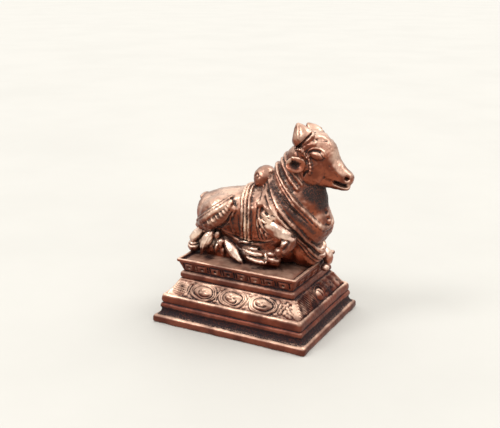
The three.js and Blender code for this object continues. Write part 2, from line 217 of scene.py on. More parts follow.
def worked(mesh: bpy.types.Mesh, name: str, kind: str, **settings: str | float | bool) -> bpy.types.Mesh:
    """A mesh after a modifier.

    Args:
        mesh: The mesh that goes in, which is removed.
        name: The name of the mesh that comes out.
        kind: The modifier's type.
        **settings: Its settings.

    Returns:
        The new mesh.
    """
    holder = placed(name + "_holder", mesh)
    modifier = holder.modifiers.new("work", kind)
    for setting, value in settings.items():
        setattr(modifier, setting, value)
    graph = bpy.context.evaluated_depsgraph_get()
    made = bpy.data.meshes.new_from_object(holder.evaluated_get(graph))
    made.name = name
    bpy.data.objects.remove(holder)
    bpy.data.meshes.remove(mesh)
    return made


@dataclass(frozen=True)
class Swell:
    """A rounded body strung along stations of [x, y, z, half width, half depth].

    blunt makes the ends fuller, and square makes the section boxier, or ridged where it is under 2.
    """

    stations: tuple[Station, ...]
    blunt: float = 3.0
    square: float = 2.0
    sides: int = 48
    rings: int = 40

    def wrap(self, ball: np.ndarray) -> np.ndarray:
        """Carries the points of a unit ball with its poles on Z onto the body.

        Args:
            ball: One row for each point of the ball.

        Returns:
            The points' places on the body.
        """
        stations = np.array(self.stations, float)
        t = np.clip((1 - ball[:, 2]) / 2, 0, 1)
        out = np.hypot(ball[:, 0], ball[:, 1])
        pole = out <= TINY
        c, s = (np.divide(part, out, out=np.zeros_like(out), where=~pole) for part in ball.T[:2])
        corner = boxed(c, s, self.square, pole)
        full = (1 - np.abs(2 * t - 1) ** self.blunt).clip(0) ** (1 / self.blunt) * corner * ~pole
        step = 1e-3
        ahead, behind = np.clip(t + step, 0, 1), np.clip(t - step, 0, 1)
        along = unit(spline(stations[:, :3], ahead) - spline(stations[:, :3], behind))
        aside = unit(ACROSS - along * (along @ ACROSS)[:, None])
        rise = np.cross(along, aside)
        half = spline(stations[:, 3:], t)
        return (
            spline(stations[:, :3], t)
            + aside * (c * full * half[:, 0])[:, None]
            + rise * (s * full * half[:, 1])[:, None]
        )


@dataclass(frozen=True)
class Ball:
    """An ellipsoid: its middle, its half sizes, and its turns about X, Y and Z in degrees."""

    at: Point3
    half: Point3
    turn: Point3 = (0.0, 0.0, 0.0)
    sides: int = 32
    rings: int = 20

    def moved(self, by: np.ndarray) -> "Ball":
        """The same ellipsoid at another place."""
        return replace(self, at=tuple(np.array(self.at) + by))

    def wrap(self, ball: np.ndarray) -> np.ndarray:
        """Carries the points of a unit ball onto the ellipsoid.

        Args:
            ball: One row for each point of the ball.

        Returns:
            The points' places on the ellipsoid.
        """
        turned = np.eye(3)
        for axis, degrees in zip("XYZ", self.turn):
            turned = np.array(Matrix.Rotation(math.radians(degrees), 3, axis)) @ turned
        return (ball * np.array(self.half)) @ turned.T + np.array(self.at)


class Clay:
    """Wax forms in millimetres, pressed one into another before they are skinned as one.

    A rope has at least the first number of rings, and the second for each half of its narrower size.
    """

    ROPE_SIDES = 16
    OPEN_RINGS = (12, 1.6)
    CLOSED_RINGS = (24, 1.4)

    def __init__(self) -> None:
        """Starts with no wax."""
        self.mesh = bmesh.new()

    def press(self, *forms: Swell | Ball, sides: tuple[Side, ...] = LEFT_ONLY) -> None:
        """Adds each form, once for each side that is named.

        Args:
            *forms: The bodies to add.
            sides: The flanks they stand on. A form in the middle needs only one.
        """
        for form in forms:
            for side in sides:
                lump = bmesh.new()
                bmesh.ops.create_uvsphere(lump, u_segments=form.sides, v_segments=form.rings, radius=1.0)
                self._take(lump, form.wrap(coords(lump)) * (1, side.value, 1))

    def _take(self, lump: bmesh.types.BMesh, places: np.ndarray) -> None:
        """Moves a form's vertices to their places and adds it to the wax.

        Args:
            lump: The form, which is freed.
            places: One row for each of its vertices.
        """
        move_to(lump, places)
        passing = poured(lump, "passing")
        self.mesh.from_mesh(passing)
        bpy.data.meshes.remove(passing)

    def rope(
        self, path: np.ndarray, half: Point2, facing: np.ndarray, square: float = 2.0, closed: bool = False
    ) -> None:
        """Adds a rope or strap, with rounded ends or closed on itself.

        Args:
            path: The points that its middle follows.
            half: Half its size across, on the surface that it lies on, and away from that surface.
            facing: The outward direction at each point of the path.
            square: How boxy its section is.
            closed: Whether it closes on itself.
        """
        legs = np.diff(path, axis=0, append=path[:1] if closed else path[:0])
        length = float(np.linalg.norm(legs, axis=1).sum())
        fewest, rate = self.CLOSED_RINGS if closed else self.OPEN_RINGS
        rings = max(fewest, int(length / min(half) * rate))
        lump = bmesh.new()
        if closed:
            away = 3
            bmesh.ops.create_circle(lump, cap_ends=False, segments=self.ROPE_SIDES, radius=1.0)
            lifted = Matrix.Translation((away, 0, 0)) @ Matrix.Rotation(math.pi / 2, 4, "X")
            bmesh.ops.transform(lump, matrix=lifted, verts=lump.verts)
            bmesh.ops.spin(
                lump, geom=lump.verts[:] + lump.edges[:], cent=(0, 0, 0), axis=(0, 0, 1), angle=math.tau,
                steps=rings, use_merge=True,
            )
            tube = coords(lump)
            t = (np.arctan2(tube[:, 1], tube[:, 0]) / math.tau) % 1.0
            section = np.column_stack([tube[:, 2], np.hypot(tube[:, 0], tube[:, 1]) - away])
        else:
            bmesh.ops.create_uvsphere(lump, u_segments=self.ROPE_SIDES, v_segments=rings, radius=1.0)
            ball = coords(lump)
            t = np.clip(np.arccos(np.clip(ball[:, 2], -1, 1)) / math.pi, 0, 1)
            end = min(0.5, max(half) / max(length, TINY))
            full = np.sqrt(np.clip(1 - (1 - np.clip(np.minimum(t, 1 - t) / end, 0, 1)) ** 2, 0, 1))
            out = np.maximum(np.hypot(ball[:, 0], ball[:, 1]), 1e-9)
            section = ball[:, :2] / out[:, None] * full[:, None]
        self._take(lump, self._laid(path, t, section, half, facing, square, closed))

    @staticmethod
    def _laid(
        path: np.ndarray, t: np.ndarray, section: np.ndarray, half: Point2, facing: np.ndarray,
        square: float, closed: bool,
    ) -> np.ndarray:
        """Carries the vertices of a straight or round tube onto a path.

        Args:
            path: The points that the tube follows.
            t: How far along the tube each vertex is, from 0 to 1.
            section: Each vertex's place across and outwards in the section, within a circle of 1.
            half: Half the tube's size across and outwards.
            facing: The outward direction at each point of the path.
            square: How boxy the section is.
            closed: Whether the path closes on itself.

        Returns:
            The vertices' places.
        """
        step = 0.5 / len(path)
        lower, upper = ((t + way) % 1.0 if closed else np.clip(t + way, 0, 1) for way in (-step, step))
        along = unit(spline(path, upper, closed) - spline(path, lower, closed))
        outward = spline(facing, t, closed)
        outward = unit(outward - along * np.sum(outward * along, axis=1)[:, None])
        across = np.cross(along, outward)
        size = np.linalg.norm(section, axis=1)
        c, s = section.T / np.maximum(size, 1e-9)
        corner = boxed(c, s, square, size < TINY)
        return (
            spline(path, t, closed)
            + across * (c * size * corner * half[0])[:, None]
            + outward * (s * size * corner * half[1])[:, None]
        )

    def settle(self, voxel: float, rounds: int) -> None:
        """Melts the forms so far into one and rounds the creases between them.

        Args:
            voxel: The grain of the melted form, in millimetres.
            rounds: How much the creases are rounded.
        """
        soft = Casting("settled", self.skin("settled", voxel))
        soft.relax(rounds)
        soft.normals()
        self.mesh = bmesh.new()
        self.mesh.from_mesh(soft.mesh)
        bpy.data.meshes.remove(soft.mesh)

    def tree(self) -> BVHTree:
        """The surface so far, for finding what lies under a tool."""
        return BVHTree.FromBMesh(self.mesh)

    def skin(self, name: str, voxel: float) -> bpy.types.Mesh:
        """Melts the forms into one closed surface.

        Args:
            name: The mesh's name.
            voxel: The surface's grain, in millimetres.

        Returns:
            The surface, still in millimetres.
        """
        wax = poured(self.mesh, name + "_wax")
        return worked(wax, name, "REMESH", mode="VOXEL", voxel_size=voxel)


def lay_on(tree: BVHTree, path: tuple[Point2, ...], side: Side, lift: float, count: int = 0) -> Laid:
    """Lays a path that is drawn on the side view onto the surface under it.

    Args:
        tree: The surface.
        path: Points of [x, z].
        side: The flank that it is laid on.
        lift: How far it stands off the surface.
        count: How many points to lay, or 0 for three for each point of the path.

    Returns:
        The places on the surface and the outward directions there.
    """
    drawn = spline(np.array(path, float), np.linspace(0, 1, count or 3 * len(path)))
    places, facing = [], []
    for x, z in drawn:
        hit, normal, _, _ = tree.ray_cast(Vector((x, side.value * OUTSIDE, z)), Vector((0, -side.value, 0)))
        if hit is None:
            continue
        outward = normal if normal.y * side.value > 0 else -normal
        outward = (outward + Vector((0, LEAN * side.value, 0))).normalized()
        places.append(hit + outward * lift)
        facing.append(outward)
    return np.array(places), np.array(facing)


def lay_round(
    tree: BVHTree, middle: Point2, axis: Point3, turns: np.ndarray, lift: float, front: Point2 = (0, 0),
    flank: Point2 = (0, 0),
) -> Laid:
    """Finds a ring on a surface by looking inwards at it from outside, in a plane that holds Y.

    Args:
        tree: The surface.
        middle: The plane's [x, z] inside the body.
        axis: The plane's other direction, where the turn is 0.
        turns: The directions to look from, in degrees.
        lift: How far the ring stands off the surface.
        front: How far in x and z the ring leaves the plane where the turn is 0.
        flank: How far it leaves it on both flanks.

    Returns:
        The places on the surface and the outward directions there.
    """
    forward = unit(np.array(axis, float))
    centre = np.array([middle[0], 0.0, middle[1]])
    places, facing = [], []
    for turn in np.radians(turns):
        outward = forward * math.cos(turn) + ACROSS * math.sin(turn)
        bow = np.array(front) * max(math.cos(turn), 0) ** 3 + np.array(flank) * math.sin(turn) ** 2
        start = centre + (bow[0], 0, bow[1]) + outward * OUTSIDE
        hit = tree.ray_cast(Vector(start), Vector(-outward))[0]
        if hit is None:
            continue
        places.append(np.array(hit) + outward * lift)
        facing.append(outward)
    return np.array(places), np.array(facing)


@dataclass(frozen=True)
class Stroke:
    """A line drawn on the side view and cut into the wax, or raised on it where its depth is negative.

    reach is the span of distances from the middle plane that the tool works in. A stroke fades in as the
    surface turns to the flank by the first of TURNED to the second, and a tapered one is pinched at its ends.
    """

    TURNED = (0.05, 0.4)
    PINCH = 0.75

    path: tuple[Point2, ...]
    width: float = 0.5
    depth: float = 0.4
    reach: Point2 = (0.0, 40.0)
    sides: tuple[Side, ...] = BOTH
    taper: bool = True

    def amount(self, places: np.ndarray, facing: np.ndarray, side: Side) -> np.ndarray:
        """How strongly the stroke works at each vertex.

        Args:
            places: The vertices' places.
            facing: The outward direction at each vertex.
            side: The flank that is worked on.

        Returns:
            Values from 0 to 1.
        """
        path = spline(np.array(self.path, float), np.linspace(0, 1, 6 * len(self.path)))
        low, high = path.min(axis=0) - self.width, path.max(axis=0) + self.width
        flat = places[:, [0, 2]]
        off = places[:, 1] * side.value
        turned = facing[:, 1] * side.value
        near = np.flatnonzero(
            np.all((flat > low) & (flat < high), axis=1)
            & (off >= self.reach[0]) & (off <= self.reach[1]) & (turned > self.TURNED[0])
        )
        amount = np.zeros(len(places))
        apart, along = to_path(flat[near], path)
        wide = self.width * (1 - self.PINCH * np.abs(2 * along - 1) ** 3) if self.taper else self.width
        amount[near] = bump(apart / wide) * ease(turned[near], *self.TURNED)
        return amount


@dataclass(frozen=True)
class Pit:
    """A round hollow, or a knob where its depth is negative."""

    at: Point3
    radius: float
    depth: float
    sides: tuple[Side, ...] = BOTH

    def amount(self, places: np.ndarray, facing: np.ndarray, side: Side) -> np.ndarray:
        """How strongly the pit works at each vertex, from 0 to 1."""
        centre = np.array(self.at) * (1, side.value, 1)
        return bump(np.linalg.norm(places - centre, axis=1) / self.radius)


@dataclass(frozen=True)
class Course:
    """A level band all the way round, from half below its middle height to half above it."""

    middle: float
    half: float
    depth: float
    sides: tuple[Side, ...] = LEFT_ONLY

    def amount(self, places: np.ndarray, facing: np.ndarray, side: Side) -> np.ndarray:
        """How strongly the band works at each vertex, from 0 to 1."""
        return bump((places[:, 2] - self.middle) / self.half)


Tool = Stroke | Pit | Course


class Casting:
    """One piece of the casting, whose surface is smoothed, cut, roughened and worn before it is thinned.

    A mark's number of rounds is how far round a place it looks.
    """

    PROUD_MARKS = {"fine": 5, "broad": 40}
    UPTURNED_ROUNDS = 6

    def __init__(self, name: str, mesh: bpy.types.Mesh) -> None:
        """Takes over a mesh in millimetres.

        Args:
            name: The piece's name.
            mesh: Its surface.
        """
        self.name = name
        self.mesh = mesh
        self.marks: dict[str, np.ndarray] = {}
        self._read()

    def _read(self) -> None:
        """Reads the places and edges of the mesh."""
        self.places = rows_of(self.mesh.vertices, "co", 3)
        self.edges = rows_of(self.mesh.edges, "vertices", 2, np.int32)

    def normals(self) -> np.ndarray:
        """Brings the mesh up to date.

        Returns:
            The outward direction at each vertex.
        """
        self.mesh.vertices.foreach_set("co", self.places.ravel())
        self.mesh.update()
        return rows_of(self.mesh.vertex_normals, "vector", 3)

    def evened(self, values: np.ndarray, rounds: int, weight: float = 0.6) -> np.ndarray:
        """Values at the vertices after each has been drawn towards its neighbours.

        Args:
            values: One row for each vertex.
            rounds: How many times.
            weight: How far each time.

        Returns:
            The smoother values.
        """
        a, b = self.edges.T
        count = len(values)
        degree = np.maximum(np.bincount(a, minlength=count) + np.bincount(b, minlength=count), 1)
        values = values.reshape(count, -1).copy()
        for _ in range(rounds):
            for k in range(values.shape[1]):
                column = values[:, k]
                total = np.bincount(a, column[b], count) + np.bincount(b, column[a], count)
                values[:, k] = column + weight * (total / degree - column)
        return values

    def relax(self, rounds: int, weight: float = 0.6) -> None:
        """Smooths the surface, as melted wax or years of handling do."""
        self.places = self.evened(self.places, rounds, weight)

    def cut(self, *tools: Tool) -> None:
        """Works each tool into the surface, one after another.

        Args:
            *tools: The tools.
        """
        for tool in tools:
            facing = self.normals()
            for side in tool.sides:
                self.places -= facing * (tool.amount(self.places, facing, side) * tool.depth)[:, None]

    def touch(self, mark: str, *tools: Tool) -> None:
        """Strengthens a mark under each tool, or weakens it where the tool's depth is negative.

        Args:
            mark: The mark.
            *tools: The tools.
        """
        facing = self.normals()
        for tool in tools:
            for side in tool.sides:
                self.marks[mark] = self.marks[mark] + tool.amount(self.places, facing, side) * tool.depth

    def roughen(self, size: float, amount: float, seed: float) -> None:
        """Moves the surface in and out as a hand-worked mould does.

        Args:
            size: The width of the unevenness.
            amount: Its height.
            seed: A number that sets the pattern.
        """
        facing = self.normals()
        shift = Vector((seed, 2.7 * seed, 5.1 * seed))
        wave = np.array([noise.noise(Vector(place) / size + shift) for place in self.places])
        self.places += facing * (wave * amount)[:, None]

    def mark_wear_and_light(self) -> None:
        """Notes which places stand proud and wear pale, which lie deep and keep their dark patina, and how far
        each faces up, which sets the painted top light.
        """
        facing = self.normals()
        for name, rounds in self.PROUD_MARKS.items():
            sunk = np.sum((self.evened(self.places, rounds) - self.places) * facing, axis=1)
            self.marks[name] = self.evened(sunk, 2)[:, 0]
        # How far each place faces up: this drives the painted top light, pale on upper faces as if lit from
        # above
        self.marks["upturned_lit"] = self.evened(facing[:, 2], self.UPTURNED_ROUNDS)[:, 0]

    def thin(self, limit: int) -> None:
        """Brings the surface under a number of triangles and keeps the marks at their places.

        Args:
            limit: The most triangles that are kept.
        """
        self.normals()
        self.mesh.calc_loop_triangles()
        count = len(self.mesh.loop_triangles)
        if count <= limit:
            return
        tree = KDTree(len(self.places))
        for i, place in enumerate(self.places):
            tree.insert(place, i)
        tree.balance()
        ratio = limit / count
        self.mesh = worked(self.mesh, self.name, "DECIMATE", ratio=ratio, use_collapse_triangulate=True)
        self._read()
        source = np.array([tree.find(place)[1] for place in self.places])
        self.marks = {name: values[source] for name, values in self.marks.items()}

    def finish(self, material: bpy.types.Material) -> bpy.types.Object:
        """Brings the piece to metres and sets it in the scene as the casting's own surface.

        Args:
            material: What it is made of.

        Returns:
            The piece.
        """
        self.normals()
        for name, values in self.marks.items():
            layer = self.mesh.attributes.new(name, "FLOAT", "POINT")
            layer.data.foreach_set("value", values.astype(np.float32))
        self.mesh.transform(Matrix.Scale(MM, 4))
        self.mesh.polygons.foreach_set("use_smooth", [True] * len(self.mesh.polygons))
        self.mesh.materials.clear()
        self.mesh.materials.append(material)
        piece = placed(self.name, self.mesh)
        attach(piece, BODY)
        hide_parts(NODE)
        self.mesh.calc_loop_triangles()
        log.info("%s: %d triangles", self.name, len(self.mesh.loop_triangles))
        return piece


@dataclass(frozen=True)
class PaintedShade:
    """How much of the open air each place sees, which sets where painted shade darkens the surface and where
    wear and painted highlights are held back.
    """

    rays: int = 20
    samples: int = 14000
    far: float = 14.0
    lift: float = 0.12
    spread: float = 1.02
    neighbours: int = 4
    seed: int = 7

    def measure(self, castings: list[Casting]) -> None:
        """Adds the painted-shade mark to every casting, 0 in the open and 1 where it is closed in.

        Args:
            castings: The pieces, which close one another in.
        """
        chance = np.random.default_rng(self.seed)
        verts, faces, start = [], [], 0
        for casting in castings:
            casting.normals()
            casting.mesh.calc_loop_triangles()
            verts.append(casting.places)
            faces.append(rows_of(casting.mesh.loop_triangles, "vertices", 3, np.int32) + start)
            start += len(casting.places)
        tree = BVHTree.FromPolygons(np.vstack(verts).tolist(), np.vstack(faces).tolist(), all_triangles=True)
        for casting in castings:
            facing = casting.normals()
            count = len(casting.places)
            chosen = chance.choice(count, min(self.samples, count), replace=False)
            nearby = KDTree(len(chosen))
            closed_in = np.zeros(len(chosen))
            for k, i in enumerate(chosen):
                nearby.insert(casting.places[i], k)
                closed_in[k] = self._closed_in(tree, casting.places[i], facing[i], chance)
            nearby.balance()
            marks = np.empty(count)
            for i, place in enumerate(casting.places):
                found = nearby.find_n(place, self.neighbours)
                weights = [1 / (apart + 0.05) for _, _, apart in found]
                marks[i] = sum(w * closed_in[k] for w, (_, k, _) in zip(weights, found)) / sum(weights)
            # Closed-in places get painted shade in the material
            casting.marks["paintedshade"] = casting.evened(marks, 3)[:, 0]

    def _closed_in(
        self, tree: BVHTree, place: np.ndarray, outward: np.ndarray, chance: np.random.Generator
    ) -> float:
        """The share of the air over a place that something near it fills.

        Args:
            tree: Everything that can stand in the way.
            place: The place.
            outward: The outward direction there.
            chance: Where the rays' directions come from.

        Returns:
            A value from 0 to 1.
        """
        rays = unit(unit(chance.normal(size=(self.rays, 3))) + outward * self.spread)
        start = Vector(place + outward * self.lift)
        met = 0.0
        for ray in rays:
            apart = tree.ray_cast(start, Vector(ray), self.far)[3]
            if apart is not None:
                met += 1 - (apart / self.far) ** 2
        return met / self.rays


@dataclass(frozen=True)
class Face:
    """A sloping face of the plinth between two [inset, height] edges, which carries a relief."""

    low: Point2
    high: Point2
    rows: int

    @property
    def rise(self) -> float:
        """How far it is up the face."""
        return math.dist(self.low, self.high)


@dataclass(frozen=True)
class Plinth:
    """The stepped oblong plinth with its mouldings, medallions and frieze."""

    length: float = 60.0
    width: float = 48.0
    corner: float = 0.9
    slope: Face = Face((3.7, 10.2), (7.3, 15.5), 34)
    frieze: Face = Face((8.3, 18.7), (7.1, 22.0), 20)
    below: tuple[Point2, ...] = (
        (24, 0), (16, 0), (8, 0), (2, 0), (0.5, 0), (0.15, 0.2), (0, 0.6), (0, 1.3), (0.05, 2.0), (0.25, 2.45),
        (0.7, 2.7), (1.2, 2.85), (1.6, 3.2), (1.95, 3.8), (2.15, 4.4), (2.2, 4.9), (2.0, 5.15), (1.85, 5.45),
        (1.8, 5.9), (1.9, 6.4), (2.15, 6.8), (2.55, 7.05), (2.6, 7.25), (2.4, 7.5), (2.28, 7.9), (2.25, 8.4),
        (2.3, 8.9), (2.42, 9.4), (2.55, 9.8), (2.75, 10.15), (3.0, 10.35), (3.25, 10.42), (3.48, 10.36),
        (3.62, 10.24),
    )
    between: tuple[Point2, ...] = (
        (7.6, 15.65), (7.85, 15.75), (7.8, 15.95), (7.55, 16.15), (7.4, 16.5), (7.36, 16.9), (7.42, 17.4),
        (7.62, 17.85), (7.95, 18.15), (8.3, 18.3), (8.45, 18.5),
    )
    above: tuple[Point2, ...] = (
        (6.95, 22.05), (6.7, 22.15), (6.58, 22.35), (6.55, 22.7), (6.62, 23.0), (6.8, 23.2), (7.05, 23.3),
        (7.35, 23.3), (7.62, 23.2), (7.8, 22.95), (7.92, 22.65), (8.15, 22.42), (8.6, 22.4), (9.3, 22.58),
        (10.8, 22.7), (12.2, 22.7), (14, 22.7), (16, 22.7), (18.5, 22.7), (21, 22.7), (23, 22.7), (24, 22.7),
    )
    long_cells: int = 226
    short_cells: int = 176
    corner_cells: int = 5
    medallions: tuple[float, ...] = (-11.5, 0.2, 11.9)
    stems: tuple[float, ...] = (-17.6, -5.7, 6.1, 18.1)
    medallion_reach: Point2 = (4.9, 2.9)
    panel_pitch: float = 5.3
    panel_size: Point2 = (2.9, 2.1)
    ground: float = 0.12
    mould: tuple[Point3, ...] = ((6.0, 0.3, 3.1), (1.3, 0.08, 8.2))
    limit: int = 190000

    def outline(self) -> tuple[np.ndarray, np.ndarray]:
        """The section from the middle of the underside to the middle of the top.

        Returns:
            Rows of [inset, height, outward, upward], and rows of [face, up the face], with face 0 off both
            faces, 1 on the slope and 2 on the frieze.
        """
        points, tags = [], []
        runs = ((self.below, 0), (self.slope, 1), (self.between, 0), (self.frieze, 2), (self.above, 0))
        for run, tag in runs:
            if isinstance(run, Face):
                for t in np.linspace(0, 1, run.rows):
                    points.append(np.array(run.low) * (1 - t) + np.array(run.high) * t)
                    tags.append((tag, t * run.rise))
            else:
                points.extend(np.array(point, float) for point in run)
                tags.extend((0, 0.0) for _ in run)
        points = np.array(points)
        leg = np.gradient(points, axis=0)
        return np.column_stack([points, unit(leg[:, ::-1])]), np.array(tags)

    def columns(self) -> np.ndarray:
        """The corners and sides in order round the plinth.

        Returns:
            Rows of [side, x share, y share, arc x, arc y], with side -1 at a corner.
        """
        rows = []
        for side in range(4):
            turn = side * math.pi / 2
            cells = self.short_cells if side % 2 == 0 else self.long_cells
            for k in range(cells):
                s = -1 + 2 * k / cells
                rows.append((side, *self._turned(1, s, turn), math.cos(turn), math.sin(turn)))
            for k in range(self.corner_cells):
                arc = turn + k / self.corner_cells * math.pi / 2
                rows.append((-1, *self._turned(1, 1, turn), math.cos(arc), math.sin(arc)))
        rows.append(rows[0])
        return np.array(rows)

    @staticmethod
    def _turned(x: float, y: float, turn: float) -> Point2:
        """A point turned about the middle and kept on the unit square."""
        c, s = math.cos(turn), math.sin(turn)
        return (round(x * c - y * s, 9), round(x * s + y * c, 9))

    def build(self) -> bpy.types.Mesh:
        """Wraps a flat grid round the section, with the relief on it.

        Returns:
            The plinth's surface in millimetres.
        """
        section, tags = self.outline()
        columns = self.columns()
        sheet = bmesh.new()
        bmesh.ops.create_grid(sheet, x_segments=len(columns) - 1, y_segments=len(section) - 1, size=1.0)
        flat = coords(sheet)
        i = np.rint((flat[:, 0] + 1) / 2 * (len(columns) - 1)).astype(int)
        k = np.rint((flat[:, 1] + 1) / 2 * (len(section) - 1)).astype(int)
        side, share_x, share_y, arc_x, arc_y = columns[i].T
        inset, height, outward, upward = section[k].T
        face, up = tags[k].T
        round_off = np.clip(self.width / 2 - inset, 0, self.corner)
        half_x = self.length / 2 - inset - round_off
        half_y = np.maximum(self.width / 2 - inset - round_off, 0)
        x, y = share_x * half_x, share_y * half_y
        along = np.select([side == 0, side == 1, side == 2, side == 3], [y, -x, -y, x], 0.0)
        rise = np.where(side >= 0, self.relief(side.astype(int), face.astype(int), along, up), 0.0)
        x += (round_off + outward * rise) * arc_x
        y += (round_off + outward * rise) * arc_y
        z = height + upward * rise
        move_to(sheet, np.column_stack([x, y, z]))
        bmesh.ops.remove_doubles(sheet, verts=sheet.verts, dist=1e-4)
        bmesh.ops.recalc_face_normals(sheet, faces=sheet.faces)
        return poured(sheet, "plinth")

    def relief(self, side: np.ndarray, face: np.ndarray, along: np.ndarray, up: np.ndarray) -> np.ndarray:
        """How far the carving stands off the plain faces.

        Args:
            side: 0 for the front, 1 for the left, 2 for the rear and 3 for the right.
            face: 0 off both faces, 1 on the slope and 2 on the frieze.
            along: The place along the side, from its middle.
            up: The place up the face.

        Returns:
            The height at each place.
        """
        rise = np.zeros(len(along))
        reach = np.where(side % 2 == 0, self.width, self.length) / 2 - self.slope.low[0]
        edge = ease(up, 0.0, 0.5) * ease(self.slope.rise - up, 0.0, 0.5)
        ends = ease(reach - np.abs(along) - up * 0.56, 0.2, 0.9)
        mid = up - self.slope.rise / 2
        for value, pattern in enumerate((self._fans, self._plain_medallions, self._rear, self._medallions)):
            here = (face == 1) & (side == value)
            carved = pattern(along[here], mid[here]) * edge[here] * ends[here]
            rise[here] = carved - self.ground * edge[here]
        frieze = face == 2
        rise[frieze] = self._panels(side[frieze], along[frieze], up[frieze] - self.frieze.rise / 2)
        return rise

    def _medallion(self, u: np.ndarray, v: np.ndarray, swirl: float) -> np.ndarray:
        """A double-ringed medallion with a lobed and folded boss.

        Args:
            u: The place along the side, from its middle.
            v: The place up the face, from its middle.
            swirl: How its lobes and its fold are turned.

        Returns:
            The height at each place.
        """
        wide, high = self.medallion_reach
        r = np.hypot(u / wide, v / high)
        turn = np.arctan2(v / high, u / wide)
        r *= 1 + 0.02 * np.sin(3 * turn + swirl)
        lower = 0.45 + 0.55 * ease(-np.sin(turn - 0.5), -0.5, 0.5)
        rings = (0.55 * bump((r - 1.03) / 0.1) + 0.45 * bump((r - 0.87) / 0.09)) * lower
        boss = 1.05 * dome(r / 0.76) * (0.87 + 0.13 * np.cos(3 * turn + 2.5 * r + swirl))
        fold = 0.42 * bump((r - 0.45 - 0.14 * np.cos(turn + swirl)) / 0.11)
        return rings + boss - fold * ease(-np.sin(turn + 0.3), -0.3, 0.5) - 0.3 * bump((r - 0.79) / 0.06)

    def _medallions(self, along: np.ndarray, mid: np.ndarray) -> np.ndarray:
        """The right side: three medallions, with a leafy patch at the rear end and a grained one at the front.

        Args:
            along: The place along the side, from its middle.
            mid: The place up the face, from its middle.

        Returns:
            The height at each place.
        """
        bent = along + 0.14 * np.sin(1.3 * mid + 0.7 * along)
        rise = np.zeros(len(along))
        for at, swirl in zip(self.medallions, (0.4, 2.2, 4.1)):
            rise = np.maximum(rise, self._medallion(bent - at, mid + 0.15 * np.sin(along), swirl))
        for at in self.stems:
            lean = bent - at - 0.35 * mid
            rise = np.maximum(rise, 0.4 * bump(lean / 0.4) * bump(mid / 2.9))
            for ends in (-1, 1):
                rise = np.maximum(rise, 0.4 * bump(np.hypot(lean / 1.0, (mid - ends * 2.3) / 0.7)))
        veins = np.cos((bent + 0.8 * mid) * math.tau / 1.3) * np.cos((bent - 1.1 * mid) * math.tau / 1.6)
        leaf = bump(np.hypot((bent + 21.0) / 3.6, (mid + 0.1) / 3.0)) * (0.5 + 0.5 * veins)
        return np.maximum(np.maximum(rise, leaf), self._grains(along, mid, (21.4, 0.0), (3.2, 2.9), 60, 3))

    @staticmethod
    def _grains(
        u: np.ndarray, v: np.ndarray, middle: Point2, reach: Point2, count: int, seed: int
    ) -> np.ndarray:
        """A patch of small round grains.

        Args:
            u: The place along the side.
            v: The place up from the middle of the face.
            middle: The middle of the patch.
            reach: Half its size along and up.
            count: How many grains it has.
            seed: What sets their places.

        Returns:
            The height at each place.
        """
        chance = np.random.default_rng(seed)
        rise = np.zeros(len(u))
        for _ in range(count):
            at = np.array(middle) + chance.uniform(-1, 1, 2) * reach
            size = chance.uniform(0.45, 0.8)
            rise = np.maximum(rise, chance.uniform(0.35, 0.55) * bump(np.hypot(u - at[0], v - at[1]) / size))
        return rise

    def _plain_medallions(self, along: np.ndarray, mid: np.ndarray) -> np.ndarray:
        """The left side: the same medallions, plainer.

        Args:
            along: The place along the side, from its middle.
            mid: The place up the face, from its middle.

        Returns:
            The height at each place.
        """
        rise = np.zeros(len(along))
        wide, high = self.medallion_reach
        for at in self.medallions:
            r = np.hypot((along + at) / wide, mid / high)
            rise = np.maximum(rise, 0.45 * bump((r - 0.95) / 0.14) + 0.8 * dome(r / 0.72))
        return rise

    def _fans(self, along: np.ndarray, mid: np.ndarray) -> np.ndarray:
        """The front: a creased bud under an arch, with fans of fine ribs on both sides.

        Args:
            along: The place along the side, from its middle.
            mid: The place up the face, from its middle.

        Returns:
            The height at each place.
        """
        away = np.abs(along)
        ribs = waves(away - (0.75 + 0.25 * np.sign(along)) * mid, 0.98)
        petals = waves(away - 5.4 + 0.5 * mid, 3.9)
        fan = (0.6 * ribs + 0.3 * petals) * ease(away, 3.4, 4.4)
        r = np.hypot(along / 3.3, (mid + 0.4) / 2.9)
        bud = 1.25 * dome(r / 0.8) * (1 - 0.3 * bump((along + 0.3 * mid) / 0.6))
        arch = 0.75 * bump((r - 1.04) / 0.15) * ease(mid, -1.6, 0.4)
        return np.maximum(fan, bud + arch)

    def _rear(self, along: np.ndarray, mid: np.ndarray) -> np.ndarray:
        """The rear: a bud with a few plain ribs beside it.

        Args:
            along: The place along the side, from its middle.
            mid: The place up the face, from its middle.

        Returns:
            The height at each place.
        """
        away = np.abs(along)
        ribs = 0.25 * waves(away - 0.4 * mid, 2.6) * ease(away, 3.6, 4.6)
        return np.maximum(ribs, 1.2 * dome(np.hypot(along / 2.6, mid / 2.9)))

